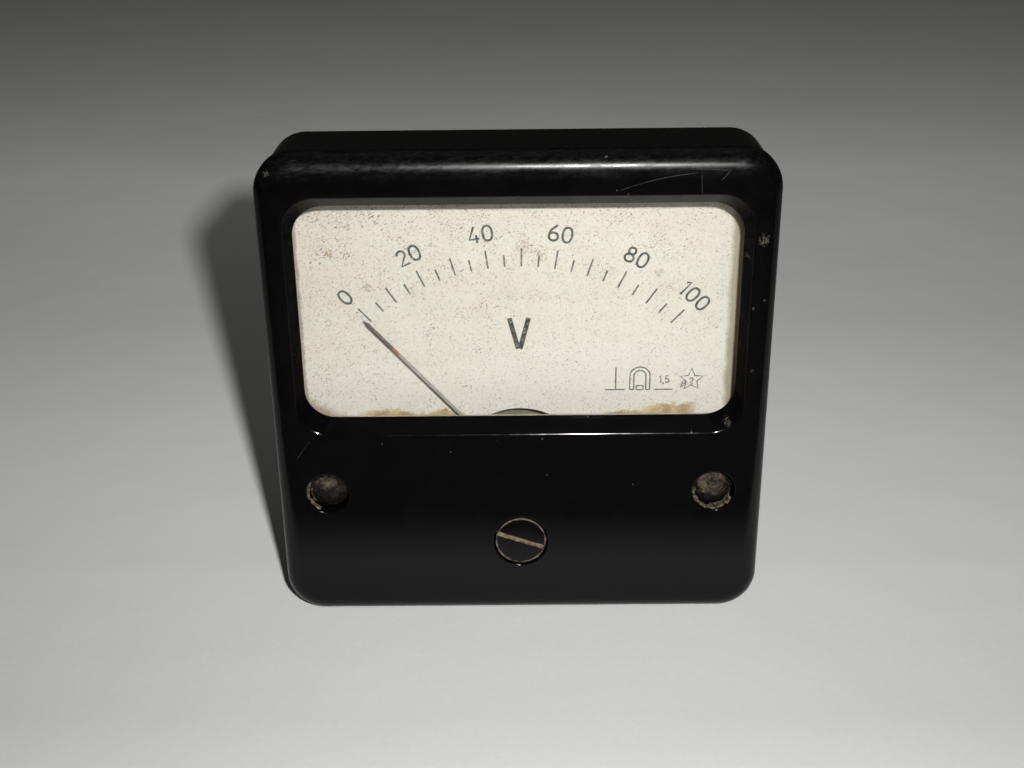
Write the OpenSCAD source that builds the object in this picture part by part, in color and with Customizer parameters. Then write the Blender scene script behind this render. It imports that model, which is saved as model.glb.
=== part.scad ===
// Moving-coil panel voltmeter with a square front.
// X is to the right, the front faces -Y and +Z is up. The origin is on the barrel's axis,
// in the plane of the panel that the rear rim of the cover lies against.

/* [Front cover] */
// Width of the square front
face_w = 80; // [79:0.5:90]
// Height of the square front
face_h = 80; // [79:0.5:90]
// Depth of the cover in front of the panel
cover_depth = 17; // [16:0.5:24]
// Radius of the front's corners
corner_r = 6.5; // [4.5:0.5:9]
// Radius of the rounded edge round the front
edge_r = 3; // [1:0.5:3.5]
// Depth of the rim before the skirt steps in
rim_depth = 4.2; // [3.8:0.1:7]
// How far the skirt steps in behind the rim
rim_step = 0.45; // [0.1:0.05:0.8]
// Thickness of the cover's front and side walls
wall = 3; // [2.6:0.1:3.3]

/* [Window] */
// Width of the front on either side of the window
window_side = 5.35; // [5.1:0.05:8]
// Height of the front above the window
window_above = 8.7; // [8.4:0.05:9]
// Height of the clear window
window_h = 35.5; // [30:0.1:35.9]
// Corner radius of the clear window
window_r = 3.7; // [2:0.1:6]
// How far the bevelled lip spreads at the sides
lip_side = 1.25; // [0.6:0.05:1.6]
// How far the bevelled lip spreads above and below
lip_top = 2.05; // [0.8:0.05:2.4]
// Soft break where the lip meets the front
lip_break = 0.35; // [0.1:0.05:0.6]
// Thickness of the glass
glass_t = 2; // [1.6:0.1:2.2]
// How far the glass reaches under the lip
glass_lap = 1.35; // [0.8:0.05:1.45]
// Thickness of the card gasket behind the glass
gasket_t = 0.6; // [0.4:0.1:0.8]
// Thickness of the sheet frame that holds the glass
retainer_t = 0.5; // [0.4:0.1:0.6]

/* [Zero adjuster] */
// Height of the zero adjuster above the bottom edge
adjuster_rise = 14; // [13.5:0.5:14.5]
// Radius of the adjuster's head
adjuster_r = 4.4; // [4:0.1:5]
// Radius of the adjuster's neck in the cover
adjuster_neck_r = 2.5; // [2:0.1:3]
// Distance of the eccentric pin from the adjuster's axis
eccentric = 1.2; // [0.8:0.1:1.4]
// Radius of the eccentric pin
eccentric_pin_r = 0.6; // [0.4:0.05:0.7]
// Slope of the screwdriver slot at rest, in degrees
adjuster_slot_angle = 16; // [0:1:90]
// How far the adjuster turns either way, in degrees
adjuster_swing = 35; // [20:1:40]

/* [Cover screws] */
// Distance of each cover screw from the side of the front
cover_screw_in = 8.3; // [8.1:0.1:8.7]
// Height of the cover screws below the window
cover_screw_below = 12.6; // [12.5:0.1:13]
// Radius of the recess over each cover screw
recess_r = 3.5; // [3.2:0.1:3.6]
// Depth of the recess over each cover screw
recess_depth = 3.6; // [3.1:0.1:5]
// Radius of the cover screw's head
cover_head_r = 2.7; // [2.4:0.1:3]
// Radius of the cover screw's shank
cover_shank_r = 1.45; // [1.2:0.05:1.5]

/* [Base] */
// Radius of the barrel that passes through the panel
barrel_r = 32.5; // [32:0.5:34]
// Depth of the barrel behind the panel
barrel_depth = 28; // [27:1:40]
// Wall of the barrel
barrel_wall = 2.5; // [1.8:0.1:2.9]
// Thickness of the barrel's back
back_t = 3; // [2.4:0.2:3.6]
// Thickness of the flange inside the cover
flange_t = 4; // [3.6:0.2:5]
// Distance of each panel stud from the edges of the front
stud_in = 7; // [6.5:0.25:7.5]
// Radius of the panel studs
stud_r = 1.5; // [1.25:0.05:1.7]
// Length of the panel studs behind the panel
stud_len = 14; // [10:1:20]

/* [Terminals] */
// Distance of each terminal from the centre line
terminal_x = 13; // [12:0.5:14]
// Radius of the terminal studs
terminal_r = 2; // [1.6:0.1:2.2]
// Length of the terminal studs behind the barrel
terminal_len = 14; // [13:1:20]
// Distance across the flats of the terminal nuts
nut_flats = 7; // [6.4:0.1:8]

/* [Scale and pointer] */
// Depth of the scale behind the front
scale_depth = 10; // [9.8:0.1:12]
// Thickness of the scale plate
scale_t = 0.8; // [0.5:0.1:1]
// How far the scale reaches beyond the window at the sides
scale_side_lap = 1.35; // [0.8:0.05:1.6]
// How far the scale reaches above the window
scale_top_lap = 4.1; // [3:0.1:4.4]
// Radius of the clearance notch round the pivot
notch_r = 11.2; // [10:0.1:12]
// Height of the pointer's pivot below the barrel's axis
pivot_drop = 17; // [16.8:0.1:17.4]
// Angle that the pointer turns through from zero to full scale
scale_span = 85.7; // [80:0.1:90]
// Angle by which the middle of the scale leans to the right
scale_lean = 0.75; // [0:0.05:2]
// Length of the pointer from the pivot to its tip
pointer_len = 36.8; // [30:0.1:38]
// Radius of the pointer's tube
pointer_r = 0.3; // [0.2:0.05:0.35]
// How far the pointer can pass either end of the scale, in degrees
overswing = 2; // [1:0.5:4]

/* [Movement] */
// Outer radius of the horseshoe magnet's arch
magnet_r = 17; // [16.6:0.1:17.1]
// Width of the magnet's bar
magnet_bar = 6; // [5:0.1:6.2]
// Length of the magnet, pole pieces and core along the pivot axis
stack_t = 12; // [10:0.5:13]
// Radius of the bore between the pole pieces
pole_bore_r = 6.8; // [6.75:0.05:7]
// Width of the slot between the pole pieces
pole_slot = 5.2; // [4:0.2:7]
// Radius of the iron core
core_r = 5.2; // [5:0.05:5.3]
// Width of the moving coil
coil_w = 2.2; // [1.8:0.1:2.4]
// Thickness of the coil's winding
winding_t = 0.65; // [0.4:0.05:0.7]
// Thickness of the coil's former
former_t = 0.2; // [0.15:0.05:0.25]
// Turns of each hairspring
spring_turns = 4.5; // [3:0.5:5]
// Outer radius of each hairspring
spring_r = 4.3; // [3.8:0.1:4.4]
// Radius of the resistor bobbins' cheeks
bobbin_r = 5.4; // [4.6:0.1:5.5]
// Length of the resistor bobbins
bobbin_len = 17; // [12:1:17]

/* [Fits] */
// Clearance of fixed pieces in their holes
fit_gap = 0.05; // [0.02:0.01:0.08]
// Clearance of turning pieces in their bearings
run_gap = 0.06; // [0.03:0.01:0.1]
// Clearance of the base and the glass in the cover
seat_gap = 0.2; // [0.1:0.05:0.4]

/* [Hidden] */
SIDES = [-1, 1];
FINE = 96;
SMALL = 40;
BLEND = 32;
eps = 0.01;
past = 1;

// Places that follow the front's size
front_y = -cover_depth;
window_w = face_w - 2 * window_side;
window_z = face_h / 2 - window_above - window_h / 2;
window_bottom = window_z - window_h / 2;
adjuster_drop = face_h / 2 - adjuster_rise;
cover_screw_x = face_w / 2 - cover_screw_in;
cover_screw_drop = cover_screw_below - window_bottom;
stud_x = face_w / 2 - stud_in;
stud_z = face_h / 2 - stud_in;

// Cover and base
inner_y = front_y + wall;
cavity_w = face_w - 2 * wall;
cavity_h = face_h - 2 * wall;
cavity_r = corner_r - wall;
bore_r = barrel_r - barrel_wall;
back_y = barrel_depth - back_t;
flange_w = cavity_w - 2 * seat_gap;
flange_h = cavity_h - 2 * seat_gap;
barrel_chamfer = 1;
pillar_r = recess_r + 0.9;
recess_y = front_y + recess_depth;
cover_head_t = 1.8;
cover_shank_end = -0.6;
stud_seat = flange_t - 0.6;
stud_root_r = stud_r + 0.9;

// Small screws: heads, slots and how far they bite
small_head_r = 1.75;
small_head_t = 0.8;
small_slot = 0.4;
small_bite = 3.2;
small_screw_r = 0.9;
tiny_head_r = 1.3;
tiny_head_t = 0.7;
tiny_slot = 0.35;
base_head_t = 1.4;
base_slot = 0.5;
base_slot_turn = 40;
base_bite = 6;
cover_slot = 0.9;

// Window stack
glass_w = window_w + 2 * glass_lap;
glass_h = window_h + 2 * (glass_lap + 0.45);
glass_bottom = window_z - glass_h / 2;
glass_top = window_z + glass_h / 2;
glass_r = 1.5;
gasket_y = inner_y + glass_t;
retainer_y = gasket_y + gasket_t;
retainer_end = retainer_y + retainer_t;
gasket_grow = 0.25;
retainer_grow = 0.9;
retainer_screw_x = glass_w / 2 - 12;
retainer_screw_z = glass_bottom - 3.5;
retainer_boss_r = 2.2;
retainer_head_r = 1.6;
retainer_foot_w = 7;
retainer_foot_drop = 1.9;
retainer_bite = 0.5;
retainer_slot_turn = 30;
retainer_top = glass_top + 1.2;
hook_w = 8;
hook_x = glass_w / 2 - 16;
hook_t = 1;
hook_lift = 0.4;
tongue_w = 6;
shelf_t = 1.2;
shelf_inset = 4;

// Scale, pointer and front bearing, from the scale forwards
scale_w = window_w + 2 * scale_side_lap;
scale_top = window_bottom + window_h + scale_top_lap;
scale_drop = cover_screw_drop - pillar_r - 0.3;
scale_y = front_y + scale_depth;
scale_corner_r = 2;
pivot_z = -pivot_drop;
adjuster_z = -adjuster_drop;
zero_angle = scale_lean - scale_span / 2;
pointer_y = scale_y - 1.7;
hub_r = 1.3;
hub_t = 1;
spring_h = 0.6;
spring_t = 0.14;
collet_r = 0.9;
front_spring_y = pointer_y - hub_t / 2 - 0.9;
bridge_t = 1.2;
bridge_y = front_spring_y - 0.6 - bridge_t;
bridge_h = 6;
bridge_bite = 2.2;
bridge_slot_turn = 70;
bridge_end_r = 3.3;
ear_half = 1.3;
lever_t = 0.5;
lever_y = bridge_y - 0.2 - lever_t;
jewel_r = 1.5;
jewel_head_r = 2.1;
jewel_head_t = 0.6;
jewel_head_y = lever_y - jewel_head_t;
cone_top_r = 0.7;
tip_r = 0.05;
jewel_slot = 0.5;
front_jewel_end = bridge_y + bridge_t + 0.3;
shaft_r = 0.4;
tip_len = 0.8;
tip_gap = 0.08;

// Movement behind the scale
stack_y = scale_y + 5;
frame_y = stack_y + stack_t;
frame_t = 1.5;
frame_end = frame_y + frame_t;
magnet_in_r = magnet_r - magnet_bar;
leg_x = (magnet_r + magnet_in_r) / 2;
pole_half_h = 6;
leg_bottom = pivot_z - pole_half_h;
pole_top = pivot_z + pole_half_h;
coil_gap = 0.35;
coil_end_gap = 1.4;
former_in = core_r + coil_gap;
former_out = former_in + former_t;
winding_out = former_out + winding_t;
coil_front = stack_y - coil_end_gap - former_t - winding_t;
coil_rear = frame_y + coil_end_gap + former_t + winding_t;
former_w = coil_w + 0.4;
staff_foot_r = 1.6;
staff_foot_t = 0.4;
rear_spring_y = coil_rear + staff_foot_t + 0.6;
rear_jewel_y = rear_spring_y + spring_h + 0.5;
rear_bridge_y = rear_jewel_y + 0.6;
rear_bridge_end = rear_bridge_y + bridge_t;
arm_t = 0.4;
jewel_nut_t = 1;
jewel_nut_flats = 5;
rear_jewel_end = rear_bridge_end + arm_t + jewel_nut_t + 0.8;
rear_leg_x = 10.4;
rear_leg_r = 1.5;
rear_bridge_h = 5;
pillar_post_r = 1.9;
pillar_stud_r = 1.2;
frame_reach = bore_r - 0.6;
frame_hole_r = pole_bore_r + 0.6;
frame_margin = 1.2;
frame_top = 4;
frame_tongue = 8;
post_x = 21;
post_below = 5.9;
post_z = window_bottom - post_below;
post_r = 2;
post_rivet = 0.4;
post_bore = 6;
base_screw_x = 19.5;
base_screw_z = pivot_z - 0.5;
base_screw_top = magnet_r + 4.5;
base_boss_r = 3.3;
base_screw_r = 1.2;
base_head_r = 2.2;
pole_screw_x = magnet_in_r - 1.4;
pole_screw_off = pole_half_h - 1.6;
pole_screw_r = 0.8;
bracket_t = 0.9;
shield_t = 0.5;
shield_hole_r = 7.2;
shield_drop = 2;
shield_rise = 12;
web_w = 1.6;
groove = 0.4;
core_screw_x = pole_bore_r + 0.8;
core_screw_r = 0.6;
core_head_r = 1.2;
core_screw_len = 3.5;
arm_reach = spring_r + 0.35;
arm_w = 1.4;
arm_ring_r = 2.6;

// Pointer stops
stop_r = 9;
stop_pin_r = 0.4;
root_r = pointer_r + 0.15;
root_len = 10;
stop_turn = asin((root_r + stop_pin_r) / stop_r) + 0.3;
lever_swing = adjuster_swing * eccentric / (adjuster_drop - pivot_drop + eccentric);
stop_low = zero_angle - overswing - lever_swing - stop_turn;
stop_high = zero_angle + scale_span + overswing + lever_swing + stop_turn;
tail_len = 7;
arm_len = 5.6;
arm_r = 0.22;
weight_r = 0.75;
weight_t = 1.3;
tail_weight_r = 1.5;
tail_weight_t = 1.5;

// Zero adjuster
head_t = 1.8;
head_set = 0.1;
clip_t = 0.45;
clip_y = inner_y + 0.1;
clip_in_r = adjuster_neck_r - 0.5;
clip_out_r = adjuster_neck_r + 1.1;
clip_mouth = 1.5 * clip_in_r;
neck_end = clip_y + clip_t + 0.3;
eccentric_z = adjuster_z - eccentric;
eccentric_end = lever_y + lever_t + 0.35;
slot_w = 0.95;
slot_depth = 0.8;
fork_gap = 0.1;
fork_wall = 0.9;
fork_w = 2 * (eccentric_pin_r + fork_gap + fork_wall);
fork_end = eccentric_z - eccentric_pin_r - 1;
lever_ring_r = 3;

// Resistors, terminals and wires
bobbin_angle = 42.5;
bobbin_dist = (magnet_r + bore_r) / 2;
bobbin_x = bobbin_dist * cos(bobbin_angle);
bobbin_z = bobbin_dist * sin(bobbin_angle);
bobbin_y = back_y - 3 - bobbin_len;
bobbin_hub_r = 3;
bobbin_cheek_t = 0.8;
bobbin_post_r = 1.9;
bobbin_foot_r = 3;
bobbin_head_t = 1;
bobbin_bite = 8;
bobbin_head_r = 2.8;
terminal_boss_r = 5.6;
terminal_boss_t = 1.5;
terminal_head_t = 2.8;
tag_t = 0.4;
tag_w = 2.6;
tag_len = 7.5;
washer_r = 4.2;
washer_t = 0.7;
nut_t = 2.6;
washer_y = barrel_depth + terminal_boss_t;
nut_y = washer_y + washer_t;
outer_washer_y = nut_y + nut_t + 0.1;
outer_nut_y = outer_washer_y + washer_t;
lead_relief = 0.4;
terminal_lead_y = outer_nut_y + nut_t + 0.3;
terminal_end = barrel_depth + terminal_len;
wire_r = 0.45;
wire_gap = 0.15;
tag_tail = 1;
lead_hook = 0.6;
lead_ease = 2;
lead_reach = 3.4;
lead_side = 1.5;
cross_in = 7;
cross_drop = 2.5;
pass_x = 7.5;
pass_z = 6;
turn_z = -2;
near_x = 4.2;
near_z = -7;

// A round bar along Y, starting at y.
module rod(x, z, y, len, r) {
    translate([x, y, z])
        rotate([-90, 0, 0])
            cylinder(h = len, r = r, $fn = r > 6 ? FINE : SMALL);
}

// A round cut through the thickness t at y, run past both faces.
module hole(x, z, y, t, r) {
    rod(x, z, y - past, t + 2 * past, r);
}

// A cone along Y, from radius r1 at y to radius r2 at its far end.
module taper(x, z, y, len, r1, r2) {
    translate([x, y, z])
        rotate([-90, 0, 0])
            cylinder(h = len, r1 = r1, r2 = r2, $fn = SMALL);
}

// A flat outline in X and Z, with its thickness along Y.
module slab(y, t) {
    translate([0, y + t, 0])
        rotate([90, 0, 0])
            linear_extrude(t)
                children();
}

// A profile carried round a rounded rectangle. Its x runs outwards from the corner's centre.
module carried_round(w, h, r) {
    for (i = [0:3]) {
        sx = (i == 0 || i == 3) ? 1 : -1;
        sz = i < 2 ? 1 : -1;
        reach = (i % 2 == 0 ? w : h) / 2 - r;
        side = (i % 2 == 0 ? h : w) - 2 * r;
        translate([sx * (w / 2 - r), sz * (h / 2 - r), 0])
            rotate([0, 0, 90 * i])
                rotate_extrude(angle = 90, $fn = FINE)
                    children();
        rotate([0, 0, 90 * i])
            translate([reach, 0, 0])
                rotate([90, 0, 0])
                    linear_extrude(side, center = true)
                        children();
    }
}

// A plate with rounded corners, centred on x = 0 and z = cz.
module plate(w, h, r, y, t, cz = 0) {
    translate([0, y, cz])
        rotate([-90, 0, 0]) {
            carried_round(w, h, r)
                square([r, t]);
            linear_extrude(t)
                square([w - 2 * r, h - 2 * r], center = true);
        }
}

// A rounded outline for the shapes that are blended.
module soft_outline(w, h, r) {
    for (sx = SIDES, sz = SIDES)
        translate([sx * (w / 2 - r), sz * (h / 2 - r)])
            circle(r, $fn = BLEND);
}

// A hexagon nut or head along Y.
module hexagon(x, z, y, t, flats) {
    translate([x, y, z])
        rotate([-90, 0, 0])
            cylinder(h = t, r = flats / 2 / cos(30), $fn = 6);
}

// A screw that goes in along +Y, with a slotted cheese head standing on y.
module slotted_screw(x, z, y, head_r, head_t, shank_r, shank_len, slot, turn = 0) {
    difference() {
        union() {
            rod(x, z, y - head_t, head_t, head_r);
            rod(x, z, y, shank_len, shank_r);
        }
        translate([x, y - head_t, z])
            rotate([0, turn, 0])
                cube([3 * head_r, head_t, slot], center = true);
    }
}

// Puts a piece that is drawn with the pointer upright at its zero position.
module at_zero() {
    translate([0, 0, pivot_z])
        rotate([0, zero_angle, 0])
            children();
}

// The point at a distance and an angle from the pivot, clockwise from straight up.
function from_pivot(r, a) = [r * sin(a), pivot_z + r * cos(a)];

// A smooth tube along a list of points.
function unit(v) = v / norm(v);
function lead_dir(p, i) = unit(p[min(i + 1, len(p) - 1)] - p[max(i - 1, 0)]);
function turned(v, d) = unit(v - (v * d) * d);
function frames(p, i, side) =
    i == len(p) ? [] : let (s = turned(side, lead_dir(p, i)))
    concat([s], frames(p, i + 1, s));
function curve_point(p, i, t) =
    let (a = p[max(i - 1, 0)], b = p[i], c = p[i + 1], d = p[min(i + 2, len(p) - 1)])
    0.5 * (2 * b + (c - a) * t + (2 * a - 5 * b + 4 * c - d) * t * t
        + (3 * b - a - 3 * c + d) * t * t * t);
function smooth_route(p, n) = concat(
    [for (i = [0:len(p) - 2], k = [0:n - 1]) curve_point(p, i, k / n)],
    [p[len(p) - 1]]
);
module tube(points, r, sides = 8) {
    path = smooth_route(points, 3);
    rings = len(path);
    side = frames(path, 0, [0.3, 0.4, 0.87]);
    verts = [for (i = [0:rings - 1], k = [0:sides - 1])
        let (d = lead_dir(path, i), u = side[i], v = cross(d, u), a = 360 * k / sides)
        path[i] + r * (cos(a) * u + sin(a) * v)];
    walls = [for (i = [0:rings - 2], k = [0:sides - 1])
        let (n = (k + 1) % sides, a = i * sides + k, b = i * sides + n)
        for (f = [[a, a + sides, b], [b, a + sides, b + sides]]) f];
    caps = [
        [for (k = [0:sides - 1]) k],
        [for (k = [sides - 1:-1:0]) (rings - 1) * sides + k]
    ];
    polyhedron(verts, concat(walls, caps));
}

// Cover with its window, screw pillars and the hole for the zero adjuster
module cover_profile() {
    square([corner_r - edge_r, edge_r]);
    translate([0, edge_r])
        square([corner_r, rim_depth - edge_r]);
    translate([corner_r - edge_r, edge_r])
        intersection() {
            circle(edge_r, $fn = FINE);
            translate([0, -edge_r])
                square(edge_r);
        }
    translate([0, rim_depth])
        square([corner_r - rim_step, cover_depth - rim_depth]);
}

module cover_body() {
    translate([0, front_y, 0])
        rotate([-90, 0, 0]) {
            carried_round(face_w, face_h, corner_r)
                cover_profile();
            linear_extrude(cover_depth)
                square([face_w - 2 * corner_r, face_h - 2 * corner_r], center = true);
        }
}

module window_lip(spread_side, spread_top, deep) {
    hull() {
        translate([0, 0, window_z])
            slab(front_y - eps, eps)
                soft_outline(window_w + 2 * spread_side, window_h + 2 * spread_top,
                    window_r + (spread_side + spread_top) / 2);
        translate([0, 0, window_z])
            slab(front_y + deep, eps)
                soft_outline(window_w, window_h, window_r);
    }
}

module lip_softening() {
    hull() {
        for (k = [0, 1])
            translate([0, 0, window_z])
                slab(front_y + k * lip_break - eps, eps)
                    soft_outline(window_w + 2 * lip_side + (1 - 2 * k) * lip_break,
                        window_h + 2 * lip_top + (1 - 2 * k) * lip_break,
                        window_r + (lip_side + lip_top) / 2);
    }
}

module front_cover() {
    color([0.06, 0.06, 0.065])
    difference() {
        union() {
            difference() {
                cover_body();
                plate(cavity_w, cavity_h, cavity_r, inner_y, cover_depth);
            }
            for (sx = SIDES)
                rod(sx * cover_screw_x, -cover_screw_drop, inner_y - eps,
                    -flange_t - inner_y + eps, pillar_r);
            for (sx = SIDES)
                rod(sx * retainer_screw_x, retainer_screw_z, inner_y - eps,
                    retainer_y - inner_y + eps, retainer_boss_r);
            shelf_top = glass_bottom - seat_gap / 2;
            translate([shelf_inset - glass_w / 2, inner_y - eps, shelf_top - shelf_t])
                cube([glass_w - 2 * shelf_inset, glass_t + eps, shelf_t]);
            for (sx = SIDES) {
                translate([sx * hook_x - hook_w / 2, inner_y - eps, glass_top + seat_gap / 2])
                    cube([hook_w, glass_t + eps, cavity_h / 2 - glass_top]);
                translate([sx * hook_x - hook_w / 2, retainer_end + fit_gap,
                    glass_top + hook_lift])
                    cube([hook_w, hook_t, cavity_h / 2 - glass_top]);
            }
        }
        window_lip(lip_side, lip_top, wall);
        lip_softening();
        plate(window_w, window_h, window_r, front_y, cover_depth / 2, window_z);
        for (sx = SIDES) {
            rod(sx * cover_screw_x, -cover_screw_drop, front_y - eps,
                recess_depth + eps, recess_r);
            rod(sx * cover_screw_x, -cover_screw_drop, front_y,
                cover_depth, cover_shank_r + fit_gap);
            rod(sx * retainer_screw_x, retainer_screw_z, inner_y - wall / 3,
                wall + glass_t, small_screw_r + fit_gap);
        }
        rod(0, adjuster_z, front_y - eps, head_t + eps, adjuster_r + 2 * run_gap);
        rod(0, adjuster_z, front_y, wall + 1, adjuster_neck_r + run_gap);
    }
}

module window_glass() {
    color([0.8, 0.88, 0.88, 0.3])
        plate(glass_w, glass_h, glass_r, inner_y, glass_t, window_z);
}

module glass_frame(y, t, grow) {
    difference() {
        plate(glass_w, glass_h, glass_r, y, t, window_z);
        plate(window_w + 2 * grow, window_h + 2 * grow, window_r, y - 1, t + 2, window_z);
    }
}

module glass_gasket() {
    color([0.72, 0.6, 0.4])
        glass_frame(gasket_y, gasket_t, gasket_grow);
}

module glass_retainer() {
    color([0.62, 0.62, 0.6])
    difference() {
        union() {
            glass_frame(retainer_y, retainer_t, retainer_grow);
            for (sx = SIDES) {
                translate([sx * hook_x - tongue_w / 2, retainer_y, glass_top - retainer_bite])
                    cube([tongue_w, retainer_t, retainer_top - glass_top + retainer_bite]);
                translate([sx * retainer_screw_x - retainer_foot_w / 2, retainer_y,
                    retainer_screw_z - retainer_foot_drop])
                    cube([retainer_foot_w, retainer_t,
                        glass_bottom + retainer_bite - retainer_screw_z + retainer_foot_drop]);
            }
        }
        for (sx = SIDES)
            hole(sx * retainer_screw_x, retainer_screw_z, retainer_y, retainer_t,
                small_screw_r + fit_gap);
    }
}

module retainer_screws() {
    color([0.75, 0.6, 0.3])
        for (sx = SIDES)
            translate([sx * retainer_screw_x, retainer_end, retainer_screw_z])
                rotate([0, 0, 180])
                    slotted_screw(0, 0, 0, retainer_head_r, small_head_t, small_screw_r,
                        small_bite, small_slot, retainer_slot_turn);
}

// Zero adjuster: a slotted head in the cover, with an eccentric pin behind
module zero_adjuster() {
    color([0.08, 0.08, 0.085])
    translate([0, 0, adjuster_z])
    difference() {
        union() {
            rod(0, 0, front_y + head_set, head_t - head_set - fit_gap, adjuster_r);
            rod(0, 0, front_y + head_t - 0.5, neck_end - front_y - head_t + 0.5, adjuster_neck_r);
            rod(0, -eccentric, neck_end - 0.5, eccentric_end - neck_end + 0.5, eccentric_pin_r);
        }
        translate([0, front_y + head_set, 0])
            rotate([0, adjuster_slot_angle, 0])
                cube([3 * adjuster_r, 2 * slot_depth, slot_w], center = true);
        difference() {
            rod(0, 0, clip_y, clip_t, adjuster_r);
            hole(0, 0, clip_y, clip_t, clip_in_r);
        }
    }
}

module adjuster_clip() {
    color([0.7, 0.7, 0.68])
    translate([0, 0, adjuster_z])
    difference() {
        rod(0, 0, clip_y + fit_gap, clip_t - 2 * fit_gap, clip_out_r);
        hole(0, 0, clip_y, clip_t, clip_in_r + fit_gap);
        translate([-clip_mouth / 2, clip_y - past, 0])
            cube([clip_mouth, clip_t + 2 * past, 2 * clip_out_r]);
    }
}

module cover_screws() {
    color([0.55, 0.5, 0.4])
        for (sx = SIDES)
            slotted_screw(sx * cover_screw_x, -cover_screw_drop, recess_y, cover_head_r,
                cover_head_t, cover_shank_r, cover_shank_end - recess_y, cover_slot, sx * 35);
}

// Base: a flange that seats in the cover, and the barrel
module base_case() {
    color([0.07, 0.07, 0.075])
    difference() {
        union() {
            plate(flange_w, flange_h, cavity_r - seat_gap, -flange_t, flange_t);
            difference() {
                union() {
                    rod(0, 0, -eps, barrel_depth - barrel_chamfer + eps, barrel_r);
                    translate([0, barrel_depth - barrel_chamfer, 0])
                        rotate([-90, 0, 0])
                            cylinder(h = barrel_chamfer, r1 = barrel_r,
                                r2 = barrel_r - barrel_chamfer, $fn = FINE);
                }
                rod(0, 0, -flange_t - 1, back_y + flange_t + 1, bore_r);
            }
            for (sx = SIDES) {
                rod(sx * base_screw_x, base_screw_z, frame_end, back_y - frame_end + 1, base_boss_r);
                rod(sx * bobbin_x, bobbin_z, bobbin_y + 0.4, back_y - bobbin_y + 0.6, bobbin_post_r);
                rod(sx * bobbin_x, bobbin_z, bobbin_y + bobbin_len, 4, bobbin_foot_r);
                rod(sx * terminal_x, 0, barrel_depth - 1, terminal_boss_t + 1, terminal_boss_r);
            }
            rod(0, base_screw_top, frame_end, back_y - frame_end + 1, base_boss_r);
            polarity_marks();
        }
        rod(0, 0, -flange_t - 1, frame_end + flange_t + 1, bore_r);
        for (sx = SIDES) {
            rod(sx * cover_screw_x, -cover_screw_drop, -flange_t - 1, flange_t + 2,
                cover_shank_r + fit_gap);
            rod(sx * base_screw_x, base_screw_z, frame_end - past, base_bite + 2 * past,
                base_screw_r + fit_gap);
            rod(sx * bobbin_x, bobbin_z, bobbin_y - past, bobbin_bite + 2 * past,
                small_screw_r + fit_gap);
            rod(sx * terminal_x, 0, back_y - 1, back_t + terminal_boss_t + 2, terminal_r + fit_gap);
            for (sz = SIDES)
                rod(sx * stud_x, sz * stud_z, -stud_seat, flange_t,
                    stud_root_r + fit_gap);
        }
        rod(0, base_screw_top, frame_end - past, base_bite + 2 * past,
                base_screw_r + fit_gap);
    }
}

// A raised plus by one terminal and a minus by the other
module polarity_marks() {
    mark_z = terminal_boss_r + 3.4;
    bar = 4;
    line_w = 0.9;
    mark_t = 0.8;
    for (sx = SIDES)
        translate([sx * terminal_x, barrel_depth, mark_z])
            cube([bar, mark_t, line_w], center = true);
    translate([-terminal_x, barrel_depth, mark_z])
        cube([line_w, mark_t, bar], center = true);
}

module panel_studs() {
    color([0.8, 0.78, 0.7])
        for (sx = SIDES, sz = SIDES) {
            rod(sx * stud_x, sz * stud_z, -stud_seat + fit_gap, stud_seat - fit_gap, stud_root_r);
            rod(sx * stud_x, sz * stud_z, -eps, stud_len + eps, stud_r);
        }
}

// Scale plate and its posts
module scale_plate() {
    color([0.9, 0.87, 0.78])
    difference() {
        plate(scale_w, scale_top + scale_drop, scale_corner_r, scale_y, scale_t,
            (scale_top - scale_drop) / 2);
        hole(0, pivot_z, scale_y, scale_t, notch_r);
        for (sx = SIDES)
            hole(sx * post_x, post_z, scale_y, scale_t, small_screw_r + fit_gap);
    }
}

module scale_screws() {
    color([0.75, 0.6, 0.3])
        for (sx = SIDES)
            slotted_screw(sx * post_x, post_z, scale_y, small_head_r, small_head_t,
                small_screw_r, scale_t + small_bite, small_slot, sx * 20);
}

module scale_posts() {
    color([0.75, 0.6, 0.3])
        for (sx = SIDES)
            difference() {
                union() {
                    rod(sx * post_x, post_z, scale_y + scale_t, frame_y - scale_y - scale_t, post_r);
                    rod(sx * post_x, post_z, frame_y, frame_t + post_rivet, post_r / 2);
                }
                rod(sx * post_x, post_z, scale_y, post_bore, small_screw_r + fit_gap);
            }
}

// Magnet system and the plate that carries it
module movement_frame() {
    color([0.78, 0.63, 0.34])
    difference() {
        slab(frame_y, frame_t)
            intersection() {
                circle(frame_reach, $fn = FINE);
                union() {
                    translate([-magnet_r - frame_margin, leg_bottom - frame_margin])
                        square([2 * (magnet_r + frame_margin), frame_top - leg_bottom]);
                    translate([-frame_reach, base_screw_z - base_boss_r])
                        square([2 * frame_reach, post_z - base_screw_z + base_boss_r + post_r + 0.8]);
                    translate([-frame_tongue / 2, 0])
                        square([frame_tongue, frame_reach]);
                }
            }
        hole(0, pivot_z, frame_y, frame_t, frame_hole_r);
        hole(0, base_screw_top, frame_y, frame_t, base_screw_r + fit_gap);
        for (sx = SIDES) {
            hole(sx * base_screw_x, base_screw_z, frame_y, frame_t, base_screw_r + fit_gap);
            hole(sx * post_x, post_z, frame_y, frame_t, post_r / 2 + fit_gap);
            hole(sx * leg_x, pivot_z, frame_y, frame_t, pillar_stud_r + fit_gap);
            for (sz = SIDES)
                hole(sx * pole_screw_x, pivot_z + sz * pole_screw_off, frame_y, frame_t,
                    pole_screw_r + fit_gap);
        }
    }
}

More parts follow.
